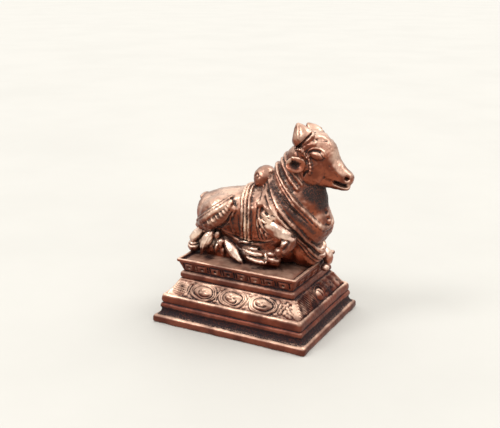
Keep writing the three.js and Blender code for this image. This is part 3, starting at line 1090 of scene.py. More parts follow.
    def _panels(self, side: np.ndarray, along: np.ndarray, mid: np.ndarray) -> np.ndarray:
        """The frieze: square panels with a round hole, and a pair of slots between two panels.

        Args:
            side: 0 for the front, 1 for the left, 2 for the rear and 3 for the right.
            along: The place along the side, from its middle.
            mid: The place up the face, from its middle.

        Returns:
            The height at each place.
        """
        length = np.where(side % 2 == 0, self.width, self.length) - 2 * self.frieze.low[0]
        count = np.floor(length / self.panel_pitch)
        cell = along / self.panel_pitch + (count - 1) / 2
        u = (cell - np.rint(cell)) * self.panel_pitch
        wide, high = self.panel_size[0] / 2, self.panel_size[1] / 2
        box = (1 - ease(np.abs(u), wide - 0.12, wide + 0.16)) * (1 - ease(np.abs(mid), high, high + 0.3))
        inside = (cell > -0.5) & (cell < count - 0.5)
        plainer = np.where(side == 1, 0.4, 1.0)
        hole = bump(np.hypot(u, mid) / 0.8) * plainer
        gap = np.abs(u) - self.panel_pitch / 2
        slots = bump((np.abs(gap) - 0.42) / 0.32) * (1 - ease(np.abs(mid), 1.05, 1.4)) * plainer
        rise = (0.42 * box - 1.0 * hole - 0.6 * slots) * inside
        return rise * (1 - ease(np.abs(mid), 1.45, 1.75))

    def cast(self, quick: bool) -> Casting:
        """The plinth, roughened by its mould.

        Args:
            quick: Whether to skip the slow work.

        Returns:
            The plinth as a casting.
        """
        casting = Casting("plinth", self.build())
        underside = casting.places[:, 2] < 0.01
        if not quick:
            for size, amount, seed in self.mould:
                casting.roughen(size, amount, seed)
        casting.places[:, 2] = np.clip(casting.places[:, 2], 0, None)
        casting.places[underside, 2] = 0.0
        return casting


@dataclass(frozen=True)
class Garland:
    """Ropes round the shoulders, in a plane through middle that falls as it goes forward.

    Each rope is [step across the plane, half width, half height]. The front hangs below the plane by the sag.
    A reach under 360 degrees leaves the front bare.
    """

    middle: Point2
    fall: float
    ropes: tuple[Point3, ...]
    square: float = 2.0
    sag: float = 0.0
    reach: float = 360.0
    lift: float = 0.25

    def lay(self, clay: Clay, under: BVHTree) -> None:
        """Lays the ropes on a surface.

        Args:
            clay: What they are added to.
            under: The surface.
        """
        aside = unit(np.array([self.fall, 1.0]))
        whole = self.reach >= 360
        if whole:
            turns = np.arange(0, 360, 8)
        else:
            turns = 180 + np.linspace(-self.reach / 2, self.reach / 2, 24)
        for step, wide, high in self.ropes:
            middle = (self.middle[0] + aside[0] * step, self.middle[1] + aside[1] * step)
            axis, sag = (1, 0, -self.fall), (0, -self.sag)
            path, facing = lay_round(under, middle, axis, turns, high * self.lift, sag)
            clay.rope(path, (wide, high), facing, self.square, whole)


@dataclass(frozen=True)
class Fold:
    """A roll or pleat drawn on the side view and laid on what is under it."""

    path: tuple[Point2, ...]
    wide: float
    high: float
    sides: tuple[Side, ...] = BOTH
    lift: float = 0.2

    def lay(self, clay: Clay, under: BVHTree) -> None:
        """Lays the fold on a surface, on each of its sides.

        Args:
            clay: What it is added to.
            under: The surface.
        """
        for side in self.sides:
            places, facing = lay_on(under, self.path, side, self.high * self.lift)
            clay.rope(places, (self.wide, self.high), facing)


@dataclass(frozen=True)
class BullPart:
    """A part of the bull: its forms are pressed together, skinned, softened, cut and roughened.

    Each grain is [width, height, pattern] of an unevenness.
    """

    name: str
    voxel: float
    limit: int
    soften: int
    grains: tuple[Point3, ...]
    cuts: tuple[Tool, ...]

    def build(self) -> Clay:
        """The part's forms, pressed together."""
        raise NotImplementedError

    def cast(self, quick: bool) -> Casting:
        """The part after its details are cut.

        Args:
            quick: Whether the surface may be coarser.

        Returns:
            The part as a casting.
        """
        voxel = self.voxel * (QUICK_GRAIN if quick else 1.0)
        casting = Casting(self.name, self.build().skin(self.name, voxel))
        casting.relax(self.soften)
        casting.cut(*self.cuts)
        for size, amount, seed in self.grains:
            casting.roughen(size, amount, seed)
        casting.relax(1, 0.3)
        return casting


@dataclass(frozen=True)
class BullBody(BullPart):
    """The trunk, neck, hump and haunches, with the garlands, girth and crupper on them.

    The turns of the girth and crupper are [first, end, step] in degrees, and each crupper cord is
    [height over the plane, half width, half height].
    """

    name: str = "bull_body"
    voxel: float = 0.24
    limit: int = 190000
    soften: int = 2
    grains: tuple[Point3, ...] = ((4.0, 0.26, 1.3), (1.5, 0.1, 4.4), (0.75, 0.1, 7.9))
    trunk: Swell = Swell(
        (
            (-21.9, 0, 34.8, 6.4, 7.0), (-18.8, 0, 35.6, 8.8, 8.4), (-12.0, 0, 37.6, 9.0, 9.0),
            (-3.0, 0, 38.8, 9.8, 9.6), (7.0, 0, 39.6, 11.4, 11.0), (17.0, 0, 39.4, 11.2, 11.2),
            (27.0, 0, 37.6, 7.4, 7.6),
        ),
        4.5, 2.2, 96, 96,
    )
    neck: Swell = Swell(
        (
            (16.0, 0, 36.0, 11.2, 11.2), (15.9, 0, 46.0, 9.6, 10.8), (16.3, 0, 52.0, 7.6, 9.5),
            (17.3, 0, 57.0, 6.0, 7.8), (19.1, 0, 62.5, 5.6, 6.1), (20.0, 0, 67.0, 4.6, 3.8),
        ),
        5.0, 2.0, 80, 64,
    )
    belly: Swell = Swell(((-20, 0, 27.5, 6.6, 6), (0, 0, 28, 7.4, 6.5), (17, 0, 28.5, 6.6, 6)), 5.0)
    haunch: Ball = Ball((-11.2, 6.6, 39.4), (8.6, 5.6, 6.2), (0, -26, 0), 64, 40)
    brisket: Ball = Ball((19.2, 0, 29.2), (6.1, 5.8, 7.4), (0, 0, 0), 48, 32)
    rump: Ball = Ball((-19.6, 0, 41.0), (2.5, 5.0, 2.1), (0, -10, 0), 40, 28)
    hump: Ball = Ball((3.4, 0, 51.8), (4.3, 4.2, 4.9), (0, 0, 0), 48, 32)
    shoulder: Ball = Ball((11.0, 9.0, 41.2), (4.6, 3.0, 5.4), (0, 24, 0), 48, 32)
    tail_root: Ball = Ball((-21.6, 0.4, 42.6), (1.3, 3.4, 1.2), (0, -14, 0))
    settling: tuple[float, int] = (0.45, 12)
    hood: Garland = Garland((19.0, 54.2), 1.0, ((0.2, 0.5, 0.5), (-1.8, 0.6, 0.55)), reach=215)
    upper: Garland = Garland((19.3, 47.6), 1.0, ((0.05, 0.55, 1.15), (-1.0, 0.5, 1.05)), sag=1.6)
    broad: tuple[Garland, ...] = (
        Garland((17.0, 44.5), 0.78, ((0.25, 1.25, 0.8),), 3.6, 2.2),
        Garland((17.0, 44.5), 0.78, ((-0.1, 1.25, 0.8),), 3.6, 4.8),
    )
    lower: Garland = Garland(
        (17.2, 42.0), 1.02, ((0.0, 0.62, 1.25), (-1.9, 0.6, 1.1), (-3.2, 0.42, 0.7)), sag=4.6
    )
    girth_x: tuple[float, ...] = (-3.0, -1.5, 0.1)
    girth_half: Point2 = (0.55, 0.9)
    girth_bow: float = 2.6
    girth_middle: float = 39.5
    girth_lift: float = 0.15
    girth_turns: Point3 = (-150, 151, 7.5)
    crupper: tuple[Point3, ...] = ((3.3, 0.42, 0.7), (1.3, 1.15, 1.15), (-4.2, 0.45, 0.6))
    crupper_plane: tuple[Point2, float] = ((-12.0, 38.3), -0.74)
    crupper_turns: Point3 = (37, 324, 7)
    crupper_lift: float = 0.2
    fringe: tuple[Point2, ...] = (
        (-17.9, 32.9), (-17.1, 33.3), (-11.8, 36.6), (-7.7, 39.4), (-5.5, 41.9), (-4.5, 43.7)
    )
    fringe_band: Point2 = (2.2, 0.95)
    fringe_square: float = 2.4
    fringe_rib: Ball = Ball((0, 0, 0), (0.48, 0.8, 1.0), (0, -36, 0), 14, 12)
    fringe_up: Point3 = (-0.45, 0, 0.65)
    fringe_lift: float = 0.85
    fringe_count: int = 14
    band_lift: float = 0.1
    folds: tuple[Fold, ...] = (
        Fold(((6.2, 50.4), (6.6, 48.6), (7.2, 46.6), (8.6, 44.8)), 0.9, 0.9),
        Fold(((8.4, 51.4), (9.1, 49.6), (10.2, 47.4), (12.0, 45.0), (13.8, 43.0)), 0.6, 0.8),
        Fold(((7.8, 45.0), (10.4, 44.4), (13.0, 42.6), (15.0, 40.4)), 1.1, 0.9, RIGHT_ONLY),
        Fold(((7.6, 43.0), (9.8, 42.3), (12.4, 41.0)), 1.2, 1.0, RIGHT_ONLY),
        Fold(((8.0, 40.9), (10.4, 40.2), (13.0, 39.3)), 1.1, 0.9, RIGHT_ONLY),
        Fold(((7.0, 45.0), (6.6, 42.6), (7.2, 40.4), (8.6, 38.0), (11.2, 36.2)), 0.5, 0.8, RIGHT_ONLY),
        Fold(((6.2, 41.0), (6.2, 38.6), (7.6, 36.2), (10.2, 34.6)), 0.4, 0.6, RIGHT_ONLY),
        Fold(((-5.6, 38.6), (-5.2, 35.4), (-4.6, 32.6)), 0.5, 0.35),
        Fold(((-8.2, 35.6), (-6.0, 37.6), (-4.6, 40.4), (-3.6, 43.2)), 0.5, 0.6),
    )
    bells: tuple[Point2, ...] = ((25.5, 46.1), (26.4, 44.1), (27.1, 42.0), (27.5, 39.8))
    bell: Ball = Ball((0, 0, 0), (0.95, 1.25, 1.05), (0, 0, 0), 20, 14)
    clapper: Ball = Ball((0.7, 0, -0.7), (0.5, 0.5, 0.5), (0, 0, 0), 12, 8)
    knob: Ball = Ball((6.6, 10.4, 45.7), (1.3, 1.4, 1.15))
    stitches: tuple[Point2, ...] = (
        (9.5, 43.5), (10.9, 42.0), (8.7, 41.0), (12.5, 40.5), (10.2, 39.6), (12.2, 43.0)
    )
    hem: tuple[Point2, ...] = (
        (-9.4, 34.4), (-8.4, 33.3), (-4.4, 32.2), (0.8, 31.7), (5.4, 31.9), (9.0, 32.8), (11.6, 34.0)
    )
    cuts: tuple[Tool, ...] = (
        Stroke(((5.6, 45.2), (5.5, 40.0), (5.6, 32.4)), 0.5, 0.6, sides=RIGHT_ONLY),
        Stroke(((7.0, 39.0), (6.9, 36.0), (7.1, 32.6)), 0.45, 0.5, sides=RIGHT_ONLY),
        Stroke(((8.5, 36.5), (8.6, 35.0), (8.8, 33.0)), 0.45, 0.5, sides=RIGHT_ONLY),
        Stroke(((-2.4, 41.0), (-2.2, 37.0), (-2.4, 33.0)), 0.5, 0.3),
        Stroke(((0.4, 53.0), (1.4, 54.2), (2.4, 53.6), (1.8, 52.4)), 0.5, 0.4),
        Stroke(hem, 0.7, -0.35),
        Stroke(tuple((x, z - 1.2) for x, z in hem), 0.7, 0.5),
        Stroke(((-19.2, 32.1), (-13.5, 32.7), (-8.6, 35.2), (-5.7, 38.0), (-4.0, 41.6)), 0.8, 0.7),
        *(
            Stroke(((x, z), (x + 0.9, z - 0.35)), 0.5, 0.5, sides=RIGHT_ONLY, taper=False)
            for x, z in stitches
        ),
    )

    def build(self) -> Clay:
        """Presses the forms together and lays the harness on them.

        Returns:
            The wax.
        """
        clay = Clay()
        clay.press(self.trunk, self.neck, self.brisket)
        torso = clay.tree()
        clay.press(self.haunch, sides=BOTH)
        clay.press(self.rump, self.belly)
        clay.press(self.shoulder, sides=RIGHT_ONLY)
        clay.settle(*self.settling)
        settled = clay.tree()
        clay.press(self.hump)
        for garland in (self.hood, self.upper, *self.broad):
            garland.lay(clay, torso)
        self.lower.lay(clay, settled)
        self._girth(clay, torso)
        self._crupper(clay, settled)
        for fold in self.folds:
            fold.lay(clay, settled)
        clay.press(self.knob, sides=RIGHT_ONLY)
        clay.press(self.tail_root)
        for x, z in self.bells:
            clay.press(self.bell.moved((x, 0, z)), self.clapper.moved((x, 0, z)))
        return clay

    def _girth(self, clay: Clay, under: BVHTree) -> None:
        """Adds the cords of the girth, which cross the back and both flanks.

        Args:
            clay: What they are added to.
            under: The surface that they lie on.
        """
        turns = np.arange(*self.girth_turns)
        for x in self.girth_x:
            middle, bow = (x, self.girth_middle), (self.girth_bow, 0)
            path, facing = lay_round(under, middle, (0, 0, 1), turns, self.girth_lift, flank=bow)
            clay.rope(path, self.girth_half, facing)

    def _crupper(self, clay: Clay, under: BVHTree) -> None:
        """Adds the cords that run from the girth round the rump, and the fringe under them.

        Args:
            clay: What they are added to.
            under: The surface that they lie on.
        """
        (x, z), fall = self.crupper_plane
        turns = np.arange(*self.crupper_turns)
        for step, wide, high in self.crupper:
            path, facing = lay_round(under, (x, z + step), (1, 0, -fall), turns, high * self.crupper_lift)
            clay.rope(path, (wide, high), facing)
        for side in BOTH:
            places, facing = lay_on(under, self.fringe, side, self.band_lift, self.fringe_count)
            clay.rope(places, self.fringe_band, facing, self.fringe_square)
            for place, outward in zip(places, facing):
                clay.press(self.fringe_rib.moved(place + self.fringe_up + outward * self.fringe_lift))


@dataclass(frozen=True)
class BullHead(BullPart):
    """The head, with its horns, ears, eyes and bridle."""

    name: str = "bull_head"
    voxel: float = 0.19
    limit: int = 150000
    soften: int = 3
    grains: tuple[Point3, ...] = ((3.0, 0.16, 2.9), (0.9, 0.09, 6.6))
    skull: Swell = Swell(
        (
            (14.8, 0, 66.0, 4.6, 4.6), (19.4, 0, 64.6, 6.2, 7.2), (23.8, 0, 61.6, 5.9, 7.0),
            (28.0, 0, 58.2, 4.4, 4.5), (32.0, 0, 56.1, 3.3, 3.3), (35.8, 0, 55.0, 3.2, 3.1),
        ),
        3.2, 2.3, 80, 64,
    )
    jaw: Swell = Swell(
        (
            (17.4, 0, 58.2, 4.6, 4.8), (23.0, 0, 56.0, 5.2, 4.9), (28.0, 0, 54.4, 3.2, 2.8),
            (34.8, 0, 52.6, 2.2, 1.9),
        ),
        4.0, 2.0, 64, 48,
    )
    throat: Swell = Swell(
        ((17.3, 0, 54.0, 5.6, 6.6), (18.4, 0, 58.0, 5.6, 6.2), (19.4, 0, 63.0, 5.2, 5.4)), 5.0
    )
    cheek: Ball = Ball((22.6, 3.4, 58.2), (4.7, 3.5, 6.4), (0, 24, 0), 64, 40)
    right_horn: Swell = Swell(
        (
            (19.9, 3.4, 66.2, 3.9, 5.0), (18.9, 3.6, 69.2, 3.4, 4.0), (17.7, 3.7, 71.8, 1.8, 2.0),
            (17.0, 3.6, 73.4, 0.8, 0.8),
        ),
        3.2, 2.0, 48, 44,
    )
    left_horn: Swell = Swell(
        ((20.4, 3.0, 65.4, 4.2, 4.2), (19.3, 3.9, 68.8, 3.5, 3.6), (17.2, 3.6, 72.3, 0.9, 0.9)), 2.6
    )
    ear: Swell = Swell(
        (
            (21.2, 5.8, 60.1, 1.9, 2.3), (18.8, 8.0, 60.1, 1.7, 2.8), (16.8, 8.8, 60.5, 1.4, 2.6),
            (15.4, 9.0, 61.0, 0.8, 1.4),
        ),
        3.2, 2.0, 48, 36,
    )
    eyeball: Ball = Ball((24.7, 5.1, 63.6), (2.8, 1.9, 1.75), (0, 10, 0))
    lid: Fold = Fold(
        ((21.7, 64.3), (22.5, 65.1), (23.5, 65.6), (24.8, 65.8), (26.2, 65.4), (27.3, 64.3), (27.9, 62.6)),
        0.34, 0.4,
    )
    brow: Fold = Fold(((19.9, 64.9), (21.2, 66.0), (22.8, 66.9), (24.6, 67.1)), 0.9, 0.45)
    jewel: Ball = Ball((25.7, 0, 67.7), (1.7, 2.4, 0.9), (0, 40, 0))
    bridle: tuple[Point2, ...] = (
        (17.0, 64.8), (18.6, 64.9), (20.2, 64.5), (21.5, 63.5), (22.5, 62.1), (23.2, 60.5), (23.5, 59.0),
        (23.1, 57.6),
    )
    bridle_lift: float = 0.3
    bead: Ball = Ball((0, 0, 0), (0.62, 0.7, 0.62), (0, 0, 0), 14, 10)
    bead_count: int = 11
    cuts: tuple[Tool, ...] = (
        Stroke(((13.2, 64.2), (15.6, 64.6), (18.0, 65.6), (20.2, 67.4), (22.0, 69.6), (22.8, 71.4)), 0.6, 0.9),
        Stroke(
            ((22.0, 64.1), (22.7, 64.7), (23.6, 65.1), (24.8, 65.2), (26.0, 64.9), (26.9, 64.0), (27.4, 62.7)),
            0.3, 0.45,
        ),
        Stroke(((21.5, 64.8), (21.6, 63.5), (22.2, 62.5)), 0.45, 0.55),
        Stroke(((16.9, 61.0), (18.4, 60.7), (19.7, 60.2)), 2.3, 2.9, (6.0, 12.0), taper=False),
        Stroke(((20.4, 55.9), (21.0, 57.3), (22.4, 58.4)), 0.6, 0.9),
        Stroke(((19.0, 56.4), (19.9, 54.6), (21.2, 53.0), (22.8, 51.8), (24.8, 51.0), (26.4, 51.4)), 0.6, 0.7),
        Stroke(((30.6, 54.3), (32.2, 53.7), (34.0, 53.4), (36.8, 53.8)), 1.0, 2.0, taper=False),
        Stroke(((29.6, 54.6), (31.2, 54.4)), 0.5, 0.4),
        Stroke(((23.8, 68.6), (25.6, 68.5), (27.2, 68.0)), 0.9, 0.45),
        Stroke(((28.6, 60.4), (30.4, 58.2), (31.6, 56.4)), 0.9, 0.2),
        Pit((34.7, 2.7, 56.1), 1.4, 2.1),
        Stroke(((17.6, 73.0), (18.2, 71.0), (18.8, 68.4)), 0.7, -0.3, sides=RIGHT_ONLY),
    )

    def build(self) -> Clay:
        """Presses the skull, horns, ears and eyes together.

        Returns:
            The wax.
        """
        clay = Clay()
        clay.press(self.skull, self.jaw, self.throat, self.jewel)
        clay.press(self.cheek, sides=BOTH)
        face = clay.tree()
        clay.press(self.right_horn, sides=RIGHT_ONLY)
        clay.press(self.left_horn)
        clay.press(self.ear, self.eyeball, sides=BOTH)
        self.lid.lay(clay, face)
        self.brow.lay(clay, face)
        eared = clay.tree()
        for side in BOTH:
            for place in lay_on(eared, self.bridle, side, self.bridle_lift, self.bead_count)[0]:
                clay.press(self.bead.moved(place))
        return clay


@dataclass(frozen=True)
class BullLegs(BullPart):
    """The folded legs, with the hooves and the tail's tuft spread over the plinth's top."""

    name: str = "bull_legs"
    voxel: float = 0.22
    limit: int = 130000
    soften: int = 2
    grains: tuple[Point3, ...] = ((3.0, 0.22, 5.7), (0.9, 0.11, 9.1))
    hock: tuple[Swell | Ball, ...] = (
        Swell(
            ((-16.6, 6.4, 34.0, 2.0, 1.6), (-19.8, 7.2, 30.6, 2.3, 1.75), (-22.8, 7.2, 27.4, 2.3, 1.8)),
            4.5, 2.8,
        ),
        Ball((-22.2, 7.0, 25.3), (2.5, 2.5, 2.3), (0, 0, 0), 40, 28),
    )
    tuft: Swell = Swell(
        ((-13.1, 8.2, 33.4, 1.2, 1.2), (-15.6, 9.4, 28.9, 1.6, 1.95), (-18.4, 9.0, 22.6, 0.4, 0.5)), 2.8, 1.8
    )
    hind_hoof: Swell = Swell(
        ((-8.4, 8.4, 30.4, 1.2, 1.4), (-4.4, 9.9, 26.7, 1.7, 2.1), (0.2, 10.5, 22.5, 0.4, 0.5)), 2.8, 1.7
    )
    curls: tuple[Ball, ...] = (
        Ball((-11.4, 8.6, 31.4), (1.0, 1.3, 1.7), (0, 20, 0)),
        Ball((-9.8, 8.8, 28.4), (1.1, 1.4, 1.9), (0, 6, 0)),
        Ball((-9.4, 8.2, 25.6), (1.1, 1.4, 1.9), (0, -8, 0)),
        Ball((-12.2, 7.8, 26.2), (1.0, 1.2, 2.1), (0, 14, 0)),
    )
    tail: tuple[Swell, ...] = (
        Swell(
            ((-5.0, 5.6, 28.6, 1.4, 0.7), (-1.7, 6.4, 29.8, 1.5, 0.8), (2.4, 6.2, 30.0, 1.4, 0.7)), 3.0, 2.2
        ),
        Swell(
            ((-1.6, 8.0, 28.4, 1.2, 0.45), (1.7, 8.5, 28.7, 1.3, 0.55), (5.2, 8.5, 29.0, 1.2, 0.45)), 3.0, 2.2
        ),
    )
    hind_pad: Swell = Swell(
        ((-21.8, 4.6, 26.6, 3.1, 4.4), (-11, 5.5, 26, 2.6, 5), (-2, 6.0, 25, 2, 3.2)), 5.0
    )
    upper_arm: Swell = Swell(
        ((9.4, 9.6, 39.4, 2.6, 3.0), (14.2, 11.0, 37.6, 2.4, 2.6), (19.2, 11.6, 36.2, 2.1, 2.0)), 5.0, 2.8
    )
    shin: Swell = Swell(
        ((18.9, 11.6, 36.8, 2.1, 2.5), (17.7, 11.5, 33.2, 2.0, 2.3), (16.0, 11.0, 29.6, 1.6, 1.4)), 4.5, 3.2
    )
    fetlock: Ball = Ball((14.6, 11.0, 29.8), (1.9, 1.7, 1.9), (0, 24, 0))
    fore_hoof: tuple[Ball, ...] = (
        Ball((11.0, 9.9, 28.4), (2.1, 1.9, 1.2), (0, 0, 0), 36, 24),
        Ball((11.6, 9.8, 26.4), (2.7, 2.1, 1.5), (0, 4, 0), 36, 24),
    )
    toes: tuple[Swell, ...] = (
        Swell(
            ((-1.4, 8.8, 28.4, 1.2, 0.45), (3.2, 9.8, 27.7, 1.6, 0.95), (7.6, 9.8, 27.5, 1.4, 0.95)), 3.4, 2.4
        ),
        Swell(
            ((1.2, 9.8, 26.0, 1.2, 0.45), (5.6, 10.8, 25.4, 1.6, 0.9), (9.9, 10.6, 25.2, 1.4, 0.9)), 3.4, 2.4
        ),
    )
    fore_pad: Swell = Swell(((-4, 6, 25, 2, 3), (5, 7, 25, 2.4, 3.2), (13, 7.6, 25.6, 2, 3.0)), 5.0)
    left_foreleg: tuple[Swell, ...] = (
        Swell(((13, 6.2, 31, 3.0, 3.2), (18, 6.2, 29, 2.6, 2.6), (21.9, 6.0, 27.6, 2.3, 2.0)), 4.0),
        Swell(
            (
                (21.8, 6.0, 27.2, 2.2, 1.7), (24.5, 6.0, 25.8, 2.2, 1.8), (25.4, 5.6, 23.6, 1.8, 1.6),
                (24.8, 5.2, 22.0, 1.3, 1.2),
            ),
            4.0, 2.6,
        ),
    )
    far_hoof: Ball = Ball((25.1, 3.9, 21.5), (1.5, 1.8, 1.35))
    garland_end: tuple[Ball, ...] = (
        Ball((23.9, 0.4, 29.3), (2.3, 2.3, 1.35), (0, -8, 0), 36, 24),
        Ball((24.2, 0.4, 27.0), (2.3, 2.3, 1.35), (0, -8, 0), 36, 24),
    )
    cuts: tuple[Tool, ...] = (
        Stroke(((-24.8, 26.6), (-22.4, 26.0), (-19.6, 26.4)), 0.5, 0.6),
        Stroke(((-7.6, 29.6), (-4.6, 26.8), (-1.0, 23.6)), 0.35, -0.2),
        Stroke(((-13.4, 31.6), (-15.4, 28.0), (-17.6, 24.0)), 0.35, -0.2),
        Stroke(
            ((16.6, 35.0), (18.6, 34.8), (17.4, 32.4), (16.4, 31.6)), 1.1, 0.75, sides=RIGHT_ONLY, taper=False
        ),
        Stroke(((-0.4, 26.9), (4.0, 26.6), (8.2, 26.5)), 0.4, 0.5, sides=RIGHT_ONLY),
        Stroke(((8.6, 29.2), (8.8, 27.4), (9.2, 25.2)), 0.45, 0.7, sides=RIGHT_ONLY),
        Stroke(((23.4, 26.6), (24.8, 25.4), (26.2, 24.4)), 0.4, 0.4, (4.0, 12.0)),
    )

    def build(self) -> Clay:
        """Presses the legs together.

        Returns:
            The wax.
        """
        clay = Clay()
        clay.press(*self.hock, self.tuft, self.hind_hoof, self.hind_pad, sides=BOTH)
        fore = (self.upper_arm, self.shin, self.fetlock, *self.fore_hoof, *self.toes, self.fore_pad)
        clay.press(*self.curls, *self.tail, *fore, sides=RIGHT_ONLY)
        clay.press(*self.left_foreleg, self.far_hoof, *self.garland_end)
        return clay


class Nodes:
    """A short way to add and join the nodes of a material or a group."""

    def __init__(self, tree: bpy.types.NodeTree) -> None:
        """Works on a node tree that starts empty."""
        self.tree = tree
        tree.nodes.clear()

    def add(
        self, kind: str, inputs: dict[str | int, Feed] | None = None, **settings: str | bool
    ) -> bpy.types.Node:
        """Adds a node.

        Args:
            kind: The node's type, without its ShaderNode.
            inputs: Values or sockets for its inputs, by name or number.
            **settings: Its other settings.

        Returns:
            The node.
        """
        node = self.tree.nodes.new(kind if kind.startswith("NodeGroup") else "ShaderNode" + kind)
        for name, value in settings.items():
            setattr(node, name, value)
        for name, value in (inputs or {}).items():
            self.join(value, node.inputs[name])
        return node

    def join(self, value: Feed, socket: bpy.types.NodeSocket) -> None:
        """Sets a socket to a value, or links it to another socket.

        Args:
            value: The value or the other socket.
            socket: The socket.
        """
        if isinstance(value, bpy.types.NodeSocket):
            self.tree.links.new(value, socket)
        else:
            socket.default_value = value

    def sum(self, operation: str, *values: Feed) -> bpy.types.NodeSocket:
        """The result of a Math node."""
        return self.add("Math", dict(enumerate(values)), operation=operation).outputs[0]

    def times(self, first: Feed, *others: Feed) -> Feed:
        """The product of values.

        Args:
            first: The first value.
            *others: The values that it is multiplied by, one after another.

        Returns:
            The product.
        """
        for other in others:
            first = self.sum("MULTIPLY", first, other)
        return first

    def span(
        self, value: Feed, low: float, high: float, out_low: Feed = 0.0, out_high: Feed = 1.0
    ) -> bpy.types.NodeSocket:
        """A value carried smoothly from one span to another and kept inside it.

        Args:
            value: The value.
            low: Where the first span starts.
            high: Where it ends.
            out_low: Where the second span starts.
            out_high: Where it ends.

        Returns:
            The new value.
        """
        ends = {0: value, 1: low, 2: high, 3: out_low, 4: out_high}
        return self.add("MapRange", ends, interpolation_type="SMOOTHSTEP", clamp=True).outputs[0]

    def blend(self, share: Feed, first: Feed, second: Feed) -> bpy.types.NodeSocket:
        """A colour between two."""
        colours = {0: share, 6: first, 7: second}
        return self.add("Mix", colours, data_type="RGBA", blend_type="MIX", clamp_result=True).outputs[2]

    def speckle(self, where: Feed, grain: Point3) -> bpy.types.NodeSocket:
        """The value of a noise, from its scale, detail and roughness."""
        inputs = dict(zip(("Vector", "Scale", "Detail", "Roughness"), (where, *grain)))
        return self.add("TexNoise", inputs, noise_dimensions="3D").outputs[0]


@dataclass(frozen=True)
class WearLightShadeGroup:
    """The node group that tells, from the marks, how worn pale a place is, how much dark patina it holds, and
    how much painted highlight and painted shade it gets.

    Each grain is [scale, detail, roughness] of a noise. Patches vary the finish over a flank, and the finer
    grains and pits break it up.
    """

    name: str = "wear_light_dirt_and_shade"
    inputs: tuple[tuple[str, float], ...] = (
        ("Fine", 0.0), ("Broad", 0.0), ("PaintedShade", 0.0), ("Upturned_Lit", 0.0), ("Rub", 1.0), ("Sides", 0.5),
        ("Toplight", 1.0), ("Dirt", 1.0), ("Level", 0.0),
    )
    outputs: tuple[str, ...] = ("Worn_And_Lit", "Dirty_And_Shaded", "Mottle", "Height")
    patches: Point3 = (130.0, 3.0, 0.55)
    grains: Point3 = (900.0, 4.0, 0.65)
    pits: Point3 = (2200.0, 2.0, 0.6)

    def build(self) -> bpy.types.NodeTree:
        """Makes the group once.

        Returns:
            The group.
        """
        tree = bpy.data.node_groups.new(self.name, "ShaderNodeTree")
        nodes = Nodes(tree)
        for name, value in self.inputs:
            socket = tree.interface.new_socket(name, in_out="INPUT", socket_type="NodeSocketFloat")
            socket.default_value = value
        for name in self.outputs:
            tree.interface.new_socket(name, in_out="OUTPUT", socket_type="NodeSocketFloat")
        given = nodes.add("NodeGroupInput").outputs
        where = nodes.add("TexCoord").outputs["Object"]
        patches = nodes.speckle(where, self.patches)
        grains = nodes.speckle(where, self.grains)
        pits = nodes.speckle(where, self.pits)
        upturned_lit = nodes.sum("SUBTRACT", given["Upturned_Lit"], given["Level"])
        open_air = nodes.span(given["PaintedShade"], 0.9, 0.4)
        # Worn pale where it stands proud, at its edges or as a whole, less so on upright faces as painted side
        # shade; a painted highlight is added where it faces up, and both are held back where it is closed in
        proud = nodes.times(nodes.span(given["Fine"], -0.02, -0.12), 0.65)
        crest = nodes.times(nodes.span(given["Broad"], 0.0, -0.6), 0.25)
        lit_from_above = nodes.span(upturned_lit, -0.3, 0.5, given["Sides"], 1.0)
        raised = nodes.times(nodes.sum("ADD", proud, crest), lit_from_above)
        # Painted top light: upper faces are coloured pale as if lit from above
        painted_toplight = nodes.times(nodes.span(upturned_lit, 0.1, 0.75), given["Toplight"])
        worn_and_lit = nodes.times(
            nodes.sum("ADD", nodes.times(raised, given["Rub"]), painted_toplight),
            nodes.span(open_air, 0.0, 1.0, 0.1, 1.0), nodes.span(patches, 0.35, 0.65, 0.35, 1.1),
        )
        # Dark patina where it lies in a fine or a broad hollow, and painted shade where it is closed in
        sunk = nodes.times(nodes.span(given["Fine"], 0.002, 0.04), 0.95)
        hollow = nodes.span(given["Broad"], 0.02, 0.28)
        # Painted shade: closed-in places are darkened as if shadowed
        shaded = nodes.span(given["PaintedShade"], 0.4, 0.8)
        dirty_and_shaded = nodes.times(
            nodes.sum("MAXIMUM", sunk, nodes.sum("MAXIMUM", hollow, shaded)),
            nodes.span(pits, 0.3, 0.62, 0.55, 1.15), given["Dirt"],
        )
        height = nodes.sum("ADD", nodes.times(grains, 0.7), nodes.times(pits, 0.3))
        out = nodes.add("NodeGroupOutput")
        for name, value in zip(self.outputs, (worn_and_lit, dirty_and_shaded, patches, height)):
            nodes.join(value, out.inputs[name])
        return tree


